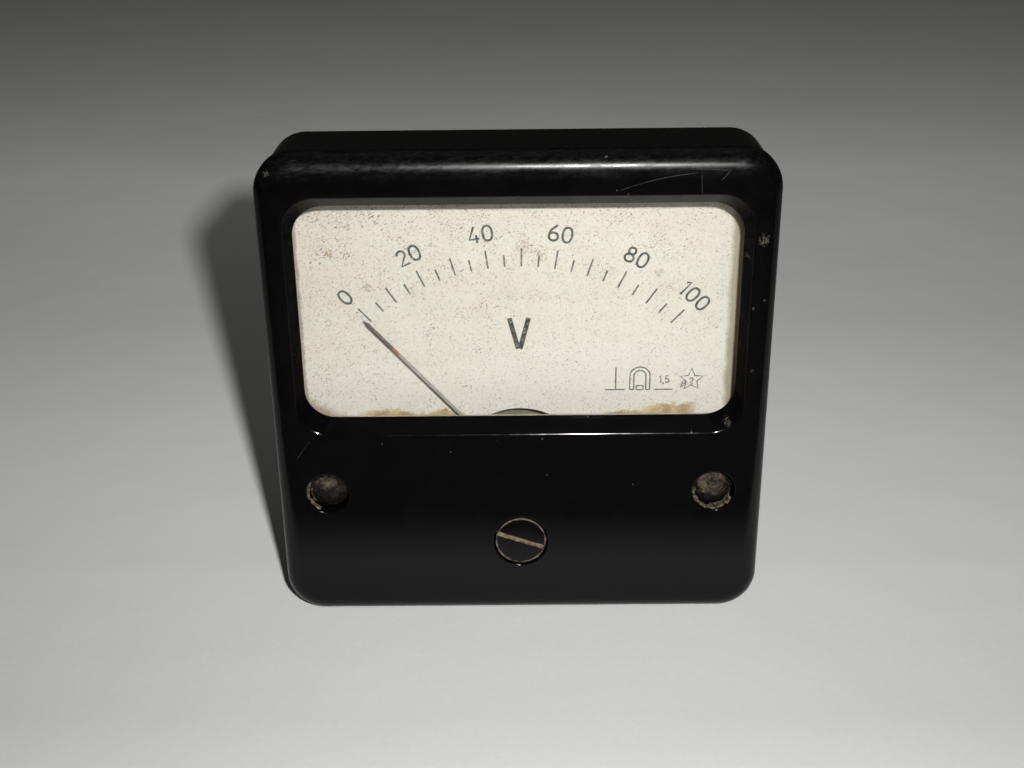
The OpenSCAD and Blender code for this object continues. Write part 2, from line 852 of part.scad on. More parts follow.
module movement_screws() {
    color([0.6, 0.6, 0.58]) {
        for (sx = SIDES)
            slotted_screw(sx * base_screw_x, base_screw_z, frame_y, base_head_r, base_head_t,
                base_screw_r, frame_t + base_bite, base_slot, base_slot_turn);
        slotted_screw(0, base_screw_top, frame_y, base_head_r, base_head_t,
            base_screw_r, frame_t + base_bite, base_slot, base_slot_turn);
    }
}

module magnet() {
    color([0.45, 0.12, 0.1])
    difference() {
        union() {
            slab(stack_y, stack_t)
                intersection() {
                    difference() {
                        circle(magnet_r, $fn = FINE);
                        circle(magnet_in_r, $fn = FINE);
                    }
                    translate([-magnet_r - 1, 0])
                        square([2 * magnet_r + 2, magnet_r + 1]);
                }
            for (sx = SIDES)
                translate([sx * leg_x - magnet_bar / 2, stack_y, leg_bottom])
                    cube([magnet_bar, stack_t, -leg_bottom]);
        }
        for (sx = SIDES)
            hole(sx * leg_x, pivot_z, stack_y, stack_t, pillar_stud_r + fit_gap);
    }
}

// Sheet in front of the magnet, held under the bridge's pillars; it shows in the scale's notch
module movement_shield() {
    color([0.6, 0.58, 0.5])
    difference() {
        translate([-magnet_r, stack_y - shield_t, pivot_z - shield_drop])
            cube([2 * magnet_r, shield_t, shield_drop + shield_rise]);
        hole(0, pivot_z, stack_y - shield_t, shield_t, shield_hole_r);
        for (sx = SIDES) {
            hole(sx * leg_x, pivot_z, stack_y - shield_t, shield_t, pillar_stud_r + fit_gap);
            hole(sx * pole_screw_x, pivot_z + pole_screw_off, stack_y - shield_t, shield_t,
                tiny_head_r + seat_gap);
        }
    }
}

module pole_pieces() {
    color([0.4, 0.4, 0.42])
        for (sx = SIDES)
            difference() {
                translate([sx > 0 ? pole_slot / 2 : -magnet_in_r, stack_y, leg_bottom])
                    cube([magnet_in_r - pole_slot / 2, stack_t, 2 * pole_half_h]);
                hole(0, pivot_z, stack_y, stack_t, pole_bore_r);
                for (sz = SIDES)
                    hole(sx * pole_screw_x, pivot_z + sz * pole_screw_off, stack_y, stack_t,
                        pole_screw_r + fit_gap);
                rod_down(sx * core_screw_x, core_screw_r + fit_gap, core_screw_len);
            }
}

// A hole or shank that goes down into the top of a pole piece.
module rod_down(x, r, len, top = 0) {
    translate([x, stack_y + stack_t / 2, pole_top + top - len])
        cylinder(h = len + 0.001, r = r, $fn = SMALL);
}

module pole_screws() {
    color([0.75, 0.6, 0.3])
        for (sx = SIDES, sz = SIDES)
            slotted_screw(sx * pole_screw_x, pivot_z + sz * pole_screw_off, stack_y, tiny_head_r,
                small_head_t, pole_screw_r, stack_t + frame_t, tiny_slot, 15);
}

module core() {
    color([0.42, 0.42, 0.44])
    difference() {
        rod(0, pivot_z, stack_y, stack_t, core_r);
        translate([-web_w / 2 - fit_gap, stack_y - 1, pivot_z + core_r - groove])
            cube([web_w + 2 * fit_gap, stack_t + 2, 2]);
    }
}

module core_bracket() {
    bar_half = core_screw_x + core_head_r + 0.4;
    color([0.78, 0.63, 0.34])
    difference() {
        union() {
            translate([-web_w / 2, stack_y, pivot_z + core_r - groove + fit_gap])
                cube([web_w, stack_t, pole_half_h - core_r + groove - fit_gap + eps]);
            translate([-bar_half, stack_y, pole_top])
                cube([2 * bar_half, stack_t, bracket_t]);
        }
        for (sx = SIDES)
            rod_down(sx * core_screw_x, core_screw_r + fit_gap, bracket_t + 2 * past,
                bracket_t + past);
    }
}

module core_screws() {
    color([0.75, 0.6, 0.3])
        for (sx = SIDES)
            difference() {
                union() {
                    rod_down(sx * core_screw_x, core_screw_r, core_screw_len, bracket_t);
                    translate([sx * core_screw_x, stack_y + stack_t / 2, pole_top + bracket_t])
                        cylinder(h = tiny_head_t, r = core_head_r, $fn = SMALL);
                }
                translate([sx * core_screw_x, stack_y + stack_t / 2, pole_top + bracket_t + tiny_head_t])
                    cube([3 * core_head_r, tiny_slot, tiny_head_t], center = true);
            }
}

// Front bearing
module bridge_outline() {
    translate([-leg_x, pivot_z - bridge_h / 2])
        square([2 * leg_x, bridge_h]);
    for (sx = SIDES)
        translate([sx * leg_x, pivot_z])
            circle(bridge_end_r, $fn = SMALL);
    for (a = [stop_low, stop_high]) {
        p = from_pivot(stop_r, a);
        translate([p[0] - ear_half, pivot_z])
            square([2 * ear_half, p[1] - pivot_z + ear_half]);
    }
}

module front_bridge() {
    color([0.78, 0.63, 0.34])
    difference() {
        slab(bridge_y, bridge_t)
            bridge_outline();
        hole(0, pivot_z, bridge_y, bridge_t, jewel_r + fit_gap);
        for (sx = SIDES)
            hole(sx * leg_x, pivot_z, bridge_y, bridge_t, small_screw_r + fit_gap);
        for (a = [stop_low, stop_high]) {
            p = from_pivot(stop_r, a);
            hole(p[0], p[1], bridge_y, bridge_t, stop_pin_r + fit_gap);
        }
    }
}

module bridge_pillars() {
    color([0.75, 0.6, 0.3])
        for (sx = SIDES)
            difference() {
                union() {
                    rod(sx * leg_x, pivot_z, bridge_y + bridge_t,
                        stack_y - shield_t - bridge_y - bridge_t, pillar_post_r);
                    rod(sx * leg_x, pivot_z, stack_y - shield_t - eps,
                        shield_t + stack_t + frame_t + 0.6, pillar_stud_r);
                }
                rod(sx * leg_x, pivot_z, bridge_y, 4, small_screw_r + fit_gap);
            }
}

module bridge_screws() {
    color([0.75, 0.6, 0.3])
        for (sx = SIDES) {
            slotted_screw(sx * leg_x, pivot_z, bridge_y, small_head_r, small_head_t,
                small_screw_r, bridge_t + bridge_bite, small_slot, bridge_slot_turn);
            translate([sx * rear_leg_x, rear_bridge_end, pivot_z])
                rotate([0, 0, 180])
                    slotted_screw(0, 0, 0, tiny_head_r, tiny_head_t, pole_screw_r,
                        small_bite, tiny_slot, 10);
        }
}

module front_jewel_screw() {
    color([0.8, 0.66, 0.36])
    difference() {
        union() {
            rod(0, pivot_z, jewel_head_y, jewel_head_t - fit_gap, jewel_head_r);
            rod(0, pivot_z, jewel_head_y + eps, front_jewel_end - jewel_head_y - eps, jewel_r);
        }
        translate([0, jewel_head_y, pivot_z])
            cube([3 * jewel_head_r, jewel_head_t, jewel_slot], center = true);
        taper(0, pivot_z, front_jewel_end - tip_len, tip_len + eps, tip_r, cone_top_r);
    }
}

module stop_pins() {
    color([0.7, 0.7, 0.68])
        for (a = [stop_low, stop_high]) {
            p = from_pivot(stop_r, a);
            rod(p[0], p[1], bridge_y, pointer_y - bridge_y + 0.7, stop_pin_r);
        }
}

// Rear bearing
module rear_bridge() {
    color([0.78, 0.63, 0.34])
    difference() {
        union() {
            slab(rear_bridge_y, bridge_t)
                translate([-rear_leg_x - 2, pivot_z - rear_bridge_h / 2])
                    square([2 * rear_leg_x + 4, rear_bridge_h]);
            for (sx = SIDES)
                rod(sx * rear_leg_x, pivot_z, frame_end, rear_bridge_y - frame_end + eps, rear_leg_r);
        }
        hole(0, pivot_z, rear_bridge_y, bridge_t, jewel_r + fit_gap);
        for (sx = SIDES)
            rod(sx * rear_leg_x, pivot_z, rear_bridge_end - 3.4, 4, pole_screw_r + fit_gap);
    }
}

module rear_jewel_screw() {
    color([0.8, 0.66, 0.36])
    difference() {
        rod(0, pivot_z, rear_jewel_y, rear_jewel_end - rear_jewel_y, jewel_r);
        translate([0, rear_jewel_end, pivot_z])
            cube([3 * jewel_r, jewel_head_t, jewel_slot], center = true);
        taper(0, pivot_z, rear_jewel_y - eps, tip_len + eps, cone_top_r, tip_r);
    }
}

module jewel_nut() {
    color([0.75, 0.6, 0.3])
    difference() {
        hexagon(0, pivot_z, rear_bridge_end + arm_t, jewel_nut_t, jewel_nut_flats);
        rod(0, pivot_z, rear_bridge_end, jewel_nut_t + 2, jewel_r + fit_gap);
    }
}

// A ring with an arm that reaches up and bends over to hold a hairspring's outer end
module spring_arm(y, t, tip_y, ring_r, width) {
    low = min(y, tip_y);
    high = max(y + t, tip_y);
    difference() {
        union() {
            rod(0, pivot_z, y, t, ring_r);
            translate([-width / 2, y, pivot_z])
                cube([width, t, arm_reach + t]);
            translate([-width / 2, low, pivot_z + arm_reach])
                cube([width, high - low, t]);
        }
        hole(0, pivot_z, y, t, jewel_r + run_gap);
    }
}

module rear_spring_arm() {
    color([0.75, 0.6, 0.3])
        spring_arm(rear_bridge_end, arm_t, rear_spring_y, arm_ring_r, arm_w);
}

// Moving element: coil, staffs, pointer and its weights, drawn with the pointer upright
module coil_ring(in_x, out_x, in_front, out_front, in_rear, out_rear, width) {
    difference() {
        translate([-out_x, out_front, -width / 2])
            cube([2 * out_x, out_rear - out_front, width]);
        translate([-in_x, in_front, -width])
            cube([2 * in_x, in_rear - in_front, 2 * width]);
    }
}

module coil_former() {
    front = stack_y - coil_end_gap;
    rear = frame_y + coil_end_gap;
    color([0.75, 0.76, 0.78])
        at_zero()
            coil_ring(former_in, former_out, front, front - former_t, rear, rear + former_t, former_w);
}

module coil_winding() {
    front = stack_y - coil_end_gap - former_t;
    rear = frame_y + coil_end_gap + former_t;
    color([0.72, 0.4, 0.2])
        at_zero()
            coil_ring(former_out, winding_out, front, coil_front, rear, coil_rear, coil_w);
}

module staff(y_foot, y_tip, collet_y) {
    ahead = y_tip < y_foot;
    body_y = ahead ? y_tip + tip_len : y_foot;
    body_len = abs(y_foot - y_tip) - tip_len;
    rod(0, 0, ahead ? y_foot - staff_foot_t : y_foot, staff_foot_t, staff_foot_r);
    rod(0, 0, body_y, body_len, shaft_r);
    rod(0, 0, collet_y, spring_h, collet_r);
    taper(0, 0, ahead ? y_tip : y_tip - tip_len, tip_len,
        ahead ? tip_r : shaft_r, ahead ? shaft_r : tip_r);
}

module pivot_staffs() {
    color([0.6, 0.61, 0.64])
        at_zero() {
            staff(coil_front, front_jewel_end - tip_len + tip_gap, front_spring_y);
            staff(coil_rear, rear_jewel_y + tip_len - tip_gap, rear_spring_y);
        }
}

module pointer() {
    color([0.62, 0.62, 0.6])
        at_zero()
            difference() {
                union() {
                    rod(0, 0, pointer_y - hub_t / 2, hub_t, hub_r);
                    translate([0, pointer_y, 0]) {
                        cylinder(h = root_len, r = root_r, $fn = SMALL);
                        cylinder(h = pointer_len - pointer_r, r = pointer_r, $fn = SMALL);
                        translate([0, 0, pointer_len - pointer_r])
                            sphere(pointer_r, $fn = SMALL);
                        for (a = [90, 180, 270])
                            rotate([0, a, 0])
                                cylinder(h = a == 180 ? tail_len : arm_len, r = arm_r, $fn = SMALL);
                    }
                }
                rod(0, 0, pointer_y - hub_t, 2 * hub_t, shaft_r + fit_gap / 2);
            }
}

module balance_weights() {
    color([0.78, 0.63, 0.34])
        at_zero()
            translate([0, pointer_y, 0])
                for (a = [90, 180, 270])
                    rotate([0, a, 0])
                        difference() {
                            reach = a == 180 ? tail_len - tail_weight_t : arm_len - weight_t;
                            translate([0, 0, reach])
                                cylinder(h = a == 180 ? tail_weight_t : weight_t,
                                    r = a == 180 ? tail_weight_r : weight_r, $fn = SMALL);
                            cylinder(h = 2 * tail_len, r = arm_r + fit_gap / 2, $fn = SMALL);
                        }
}

// A flat spiral ribbon from the collet out to the arm above the pivot
function spiral(r0, turns) = let (n = round(turns * 20)) [for (i = [0:n])
    let (a = 90 - 360 * turns * (n - i) / n, r = r0 + (spring_r - collet_r - spring_t) * i / n)
    r * [cos(a), sin(a)]];

module hairspring(y) {
    start = collet_r / cos(9) + eps;
    inside = spiral(start, spring_turns);
    outside = spiral(start + spring_t, spring_turns);
    last = len(outside) - 1;
    translate([0, 0, pivot_z])
        slab(y, spring_h)
            polygon(concat(inside, [for (i = [last:-1:0]) outside[i]]));
}

module front_hairspring() {
    color([0.7, 0.55, 0.25])
        hairspring(front_spring_y);
}

module rear_hairspring() {
    color([0.7, 0.55, 0.25])
        hairspring(rear_spring_y);
}

// Lever that turns the front hairspring's anchor, moved by the adjuster's pin
module zero_lever() {
    color([0.75, 0.6, 0.3])
    difference() {
        union() {
            spring_arm(lever_y, lever_t, front_spring_y + spring_h, lever_ring_r, arm_w);
            translate([-fork_w / 2, lever_y, fork_end])
                cube([fork_w, lever_t, pivot_z - fork_end - jewel_r]);
        }
        hole(0, pivot_z, lever_y, lever_t, jewel_r + run_gap);
        translate([-eccentric_pin_r - fork_gap, lever_y - 1, fork_end - 1])
            cube([2 * (eccentric_pin_r + fork_gap), lever_t + 2,
                eccentric_z + eccentric_pin_r + 2 * eccentric - fork_end]);
    }
}

// Series resistors on bobbins
module resistor_bobbins() {
    color([0.55, 0.3, 0.15])
        for (sx = SIDES)
            difference() {
                union() {
                    rod(sx * bobbin_x, bobbin_z, bobbin_y, bobbin_cheek_t, bobbin_r);
                    rod(sx * bobbin_x, bobbin_z, bobbin_y, bobbin_len, bobbin_hub_r);
                    rod(sx * bobbin_x, bobbin_z, bobbin_y + bobbin_len - bobbin_cheek_t,
                        bobbin_cheek_t, bobbin_r);
                }
                hole(sx * bobbin_x, bobbin_z, bobbin_y, bobbin_len, bobbin_post_r + fit_gap);
            }
}

module resistor_windings() {
    color([0.35, 0.2, 0.1])
        for (sx = SIDES)
            difference() {
                rod(sx * bobbin_x, bobbin_z, bobbin_y + bobbin_cheek_t + fit_gap,
                    bobbin_len - 2 * (bobbin_cheek_t + fit_gap), bobbin_r - 0.5);
                hole(sx * bobbin_x, bobbin_z, bobbin_y, bobbin_len, bobbin_hub_r + fit_gap);
            }
}

module resistor_screws() {
    color([0.75, 0.6, 0.3])
        for (sx = SIDES)
            slotted_screw(sx * bobbin_x, bobbin_z, bobbin_y, bobbin_head_r, bobbin_head_t,
                small_screw_r, bobbin_bite, base_slot, 50);
}

// Terminals
module terminal_studs() {
    color([0.78, 0.63, 0.34])
        for (sx = SIDES) {
            hexagon(sx * terminal_x, 0, back_y - tag_t - terminal_head_t, terminal_head_t, nut_flats);
            rod(sx * terminal_x, 0, back_y - tag_t - eps, terminal_lead_y - back_y + tag_t + eps,
                terminal_r);
            rod(sx * terminal_x, 0, terminal_lead_y, terminal_end - terminal_lead_y,
                terminal_r - lead_relief);
        }
}

module terminal_tags() {
    color([0.8, 0.78, 0.7])
        for (sx = SIDES)
            difference() {
                union() {
                    rod(sx * terminal_x, 0, back_y - tag_t, tag_t, nut_flats / 2);
                    translate([sx * terminal_x - tag_w / 2, back_y - tag_t, 0])
                        cube([tag_w, tag_t, tag_len]);
                }
                rod(sx * terminal_x, 0, back_y - 1, 2, terminal_r + fit_gap);
            }
}

module terminal_washers() {
    color([0.8, 0.78, 0.7])
        for (sx = SIDES, y = [washer_y, outer_washer_y])
            difference() {
                rod(sx * terminal_x, 0, y, washer_t, washer_r);
                hole(sx * terminal_x, 0, y, washer_t, terminal_r + fit_gap);
            }
}

module terminal_nuts() {
    color([0.78, 0.63, 0.34])
        for (sx = SIDES, y = [nut_y, outer_nut_y])
            difference() {
                hexagon(sx * terminal_x, 0, y, nut_t, nut_flats);
                hole(sx * terminal_x, 0, y, nut_t, terminal_r + fit_gap);
            }
}

// Leads inside the case
module lead_wires() {
    tag_top = tag_len - tag_tail;
    tag_y = back_y - tag_t - wire_r - 2 * fit_gap;
    tip_z = pivot_z + arm_reach + arm_t;
    end_y = bobbin_y + bobbin_len + wire_r + wire_gap;
    under = bobbin_r - 2 * lead_hook;
    color([0.5, 0.1, 0.08])
        for (sx = SIDES)
            tube([
                [sx * terminal_x, tag_y, tag_top - tag_tail],
                [sx * terminal_x, tag_y, tag_top + lead_hook],
                [sx * (terminal_x + lead_hook / 2), tag_y - lead_hook / 3, tag_top + lead_ease],
                [sx * (bobbin_x - lead_ease), end_y, bobbin_z - under],
                [sx * (bobbin_x - lead_reach), end_y, bobbin_z - lead_side]
            ], wire_r);
    color([0.1, 0.3, 0.15])
        tube([
            [bobbin_x - under - tag_t, end_y, bobbin_z],
            [bobbin_x - cross_in, end_y - lead_hook / 3, bobbin_z - cross_drop],
            [pass_x, back_y - cross_in / 2, pass_z],
            [pass_x - tag_tail, back_y - 2 * lead_ease, turn_z],
            [near_x, rear_bridge_end + 4 * lead_hook, near_z],
            [2 * lead_hook, rear_bridge_end + 2 * lead_hook, tip_z + lead_side],
            [0, rear_bridge_end + lead_hook + wire_r, tip_z + lead_hook]
        ], wire_r);
}

front_cover();
window_glass();
glass_gasket();
glass_retainer();
retainer_screws();
zero_adjuster();
adjuster_clip();
cover_screws();
base_case();
panel_studs();
scale_plate();
scale_screws();
scale_posts();
movement_frame();
movement_screws();
magnet();
movement_shield();
pole_pieces();
pole_screws();
core();
core_bracket();
core_screws();
front_bridge();
bridge_pillars();
bridge_screws();
front_jewel_screw();
stop_pins();
rear_bridge();
rear_jewel_screw();
jewel_nut();
rear_spring_arm();
coil_former();
coil_winding();
pivot_staffs();
pointer();
balance_weights();
front_hairspring();
rear_hairspring();
zero_lever();
resistor_bobbins();
resistor_windings();
resistor_screws();
lead_wires();
terminal_studs();
terminal_nuts();
terminal_washers();
terminal_tags();
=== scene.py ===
"""Looks of the square moving-coil voltmeter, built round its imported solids.

Pieces are drawn in millimetres and brought down to metres when they are settled.
"""

from math import copysign, cos, pi, radians, sin, tau

import bmesh
import bpy
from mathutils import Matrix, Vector


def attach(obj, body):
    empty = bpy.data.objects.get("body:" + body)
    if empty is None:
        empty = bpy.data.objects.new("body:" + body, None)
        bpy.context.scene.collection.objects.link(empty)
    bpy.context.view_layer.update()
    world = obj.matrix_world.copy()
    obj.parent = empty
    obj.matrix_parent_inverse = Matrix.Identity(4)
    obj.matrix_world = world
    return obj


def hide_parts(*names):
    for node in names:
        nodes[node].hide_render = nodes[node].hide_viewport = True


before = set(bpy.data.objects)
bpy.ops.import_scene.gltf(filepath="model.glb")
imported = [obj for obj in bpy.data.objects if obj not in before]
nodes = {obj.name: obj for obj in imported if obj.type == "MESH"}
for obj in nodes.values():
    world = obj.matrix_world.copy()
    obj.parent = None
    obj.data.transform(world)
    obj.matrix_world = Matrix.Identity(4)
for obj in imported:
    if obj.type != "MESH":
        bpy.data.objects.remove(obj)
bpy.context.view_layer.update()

MM = 0.001
# How near an edge lies to a place to be on it, in millimetres.
SLACK = 0.004
SIDES = (-1, 1)
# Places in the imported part, in millimetres.
HALF_FRONT, FRONT, SKIRT_Y = 40.0, -17.0, -12.8
SCREW_X, SCREW_Z = 31.7, -16.8
BOSS_X, BOSS_Z, HOOK_X = 24.0, -9.5, 20.0
ADJUSTER_Z, PIN_Z = -26.0, -27.2
SCALE_FACE, POINTER_Y, PIVOT_Z, TIP_FOOT = -7.0, -8.7, -17.0, 34.0
TERMINAL_X, STUD_AT = 13.0, 33.0
# Angles from upright to the scale's first tick, and over the whole scale, in degrees.
ZERO_ANGLE, FULL_SWEEP = -42.1, 85.7
# Where wear, stains, painted shade along the window's edge and the painted reflection of the top lip lie, in
# metres: a mask rises from the first number to the second.
BROW_HEIGHT, BROW_DEPTH = (0.0355, 0.0372), (-0.0128, -0.0142)
RIM_REACH, RIM_DEPTH = (0.0368, 0.0380), (-0.0125, -0.0140)
LIP_REFLECTION_HEIGHT, LIP_REFLECTION_REACH = (0.0285, 0.0312), (0.0350, 0.0310)
LEFT_STAIN_X, LEFT_STAIN_REACH, LEFT_STAIN_HEIGHT = -0.0180, (0.0093, 0.0078), (-0.0058, -0.0064)
RIGHT_STAIN_X, RIGHT_STAIN_REACH, RIGHT_STAIN_EDGE = 0.0200, (0.0096, 0.0080), (0.0002, -0.0005)
RIGHT_STAIN_SLOPE = (0.011, 0.029, -0.0069, -0.0047)
FOOT_LINE, LEFT_LINE = (-0.0063, -0.0070), (-0.0351, -0.0354)
RIGHT_BAND, RIGHT_LINE = (0.0336, 0.0344), (0.0348, 0.0354)
CORNER_EDGE, SILL_EDGE = (0.0435, 0.0458), (0.0217, 0.0229)
RED_BAND, DARK_END = (0.0292, 0.0294), (0.03085, 0.03105)


# Workbench
def clear():
    bpy.ops.object.select_all(action="DESELECT")


def only(piece):
    clear()
    piece.select_set(True)
    bpy.context.view_layer.objects.active = piece


def edit(piece, kind="FACE"):
    only(piece)
    bpy.ops.object.mode_set(mode="EDIT")
    bpy.ops.mesh.select_mode(type=kind)
    bpy.ops.mesh.select_all(action="DESELECT")


def leave():
    bpy.ops.object.mode_set(mode="OBJECT")


def whole():
    bpy.ops.mesh.select_all(action="SELECT")


def point_outwards():
    """Turns all the faces of the open piece outwards."""
    whole()
    bpy.ops.mesh.normals_make_consistent(inside=False)


def choose(piece, test, kind="FACE"):
    """Opens the piece for editing with the faces or edges that pass the test selected."""
    edit(piece, kind)
    bm = bmesh.from_edit_mesh(piece.data)
    for item in bm.faces if kind == "FACE" else bm.edges:
        if test(item):
            item.select_set(True)
    bm.select_mode = {kind}
    bm.select_flush_mode()
    bmesh.update_edit_mesh(piece.data)


def edge_along(axis):
    def test(edge):
        run = edge.verts[1].co - edge.verts[0].co
        return abs(run[axis]) > 0.999 * run.length

    return test


def edge_on(axis, place):
    return lambda edge: all(abs(v.co[axis] - place) < SLACK for v in edge.verts)


def face_towards(axis, sign):
    return lambda face: face.normal[axis] * sign > 0.99


def fix_place(piece):
    only(piece)
    bpy.ops.object.transform_apply(location=True, rotation=True, scale=True)
    return piece


def stand(piece, place, turn=(0, 0, 0)):
    """Turns a piece about the origin and then moves it, for good."""
    piece.rotation_euler = turn
    piece.location = place
    return fix_place(piece)


def fresh(name):
    """The piece just added, under its name."""
    piece = bpy.context.object
    piece.name = name
    return piece


def draw_back(distance):
    bpy.ops.mesh.extrude_region_move(TRANSFORM_OT_translate={"value": (0, distance, 0)})


def block(name, low, high):
    """A box between two corners."""
    clear()
    middle = [(a + b) / 2 for a, b in zip(low, high)]
    size = [b - a for a, b in zip(low, high)]
    bpy.ops.mesh.primitive_cube_add(size=1, location=middle)
    piece = fresh(name)
    piece.scale = size
    return fix_place(piece)


def round_edges(piece, test, width, steps):
    choose(piece, test, "EDGE")
    bpy.ops.mesh.bevel(offset=width, segments=steps, affect="EDGES")
    leave()
    return piece


def plate(name, low, high, corner, steps):
    """A box whose four edges along Y are rounded."""
    return round_edges(block(name, low, high), edge_along(1), corner, steps)


def turned(name, x, z, profile, sides):
    """A solid turned about an axis along Y, drawn out ring by ring. The profile lists y and radius."""
    clear()
    y, radius = profile[0]
    bpy.ops.mesh.primitive_circle_add(vertices=sides, radius=radius, fill_type="NGON",
                                      location=(x, y, z), rotation=(pi / 2, 0, 0))
    piece = fix_place(fresh(name))
    edit(piece)
    whole()
    for next_y, next_radius in profile[1:]:
        draw_back(next_y - y)
        grow = next_radius / radius
        if grow != 1:
            bpy.ops.transform.resize(value=(grow, 1, grow), center_override=(x, next_y, z))
        y, radius = next_y, next_radius
    point_outwards()
    leave()
    return piece


def drawn_through(name, corner, cz, sections):
    """A rounded outline drawn back through sections of y, width and height."""
    clear()
    y, w, h = sections[0]
    bpy.ops.mesh.primitive_plane_add(size=1, location=(0, y, cz), rotation=(pi / 2, 0, 0))
    piece = fresh(name)
    piece.scale = (w, h, 1)
    fix_place(piece)
    edit(piece, "VERT")
    whole()
    bpy.ops.mesh.bevel(offset=corner, segments=16, affect="VERTICES")
    bpy.ops.mesh.select_mode(type="FACE")
    whole()
    for next_y, next_w, next_h in sections[1:]:
        draw_back(next_y - y)
        bpy.ops.transform.resize(value=(next_w / w, 1, next_h / h), center_override=(0, next_y, cz))
        y, w, h = next_y, next_w, next_h
    point_outwards()
    leave()
    return piece


def finish_with(piece, kind, **settings):
    """Adds a modifier, sets it and applies it."""
    only(piece)
    tool = piece.modifiers.new("work", kind)
    for key, value in settings.items():
        setattr(tool, key, value)
    bpy.ops.object.modifier_apply(modifier=tool.name)


def combine(piece, tool, operation):
    finish_with(piece, "BOOLEAN", object=tool, operation=operation, solver="EXACT")
    bpy.data.objects.remove(tool)


def cut(piece, tool):
    combine(piece, tool, "DIFFERENCE")


def weld(piece, part):
    combine(piece, part, "UNION")


def join(name, parts):
    clear()
    for part in parts:
        part.select_set(True)
    bpy.context.view_layer.objects.active = parts[0]
    bpy.ops.object.join()
    return fresh(name)


def copy_at(piece, shift, turn):
    """A copy with its own mesh, moved, and turned about an axis along Y through its new place."""
    only(piece)
    bpy.ops.object.duplicate()
    return stand(bpy.context.object, shift, (0, turn, 0))


def settle(piece, name, finish, slot, *replaced, body="case", angle=35, crisp=True):
    """Brings a piece to metres, closes and smooths it, gives it its finish and hangs it on its body."""
    piece.name = piece.data.name = name
    piece.scale = (MM, MM, MM)
    fix_place(piece)
    edit(piece, "VERT")
    whole()
    bpy.ops.mesh.remove_doubles(threshold=1e-7)
    point_outwards()
    leave()
    bpy.ops.object.shade_smooth_by_angle(angle=radians(angle))
    if crisp:
        finish_with(piece, "WEIGHTED_NORMAL", keep_sharp=True)
    piece.data.materials.clear()
    piece.data.materials.append(finish)
    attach(piece, body)
    if replaced:
        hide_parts(*replaced)


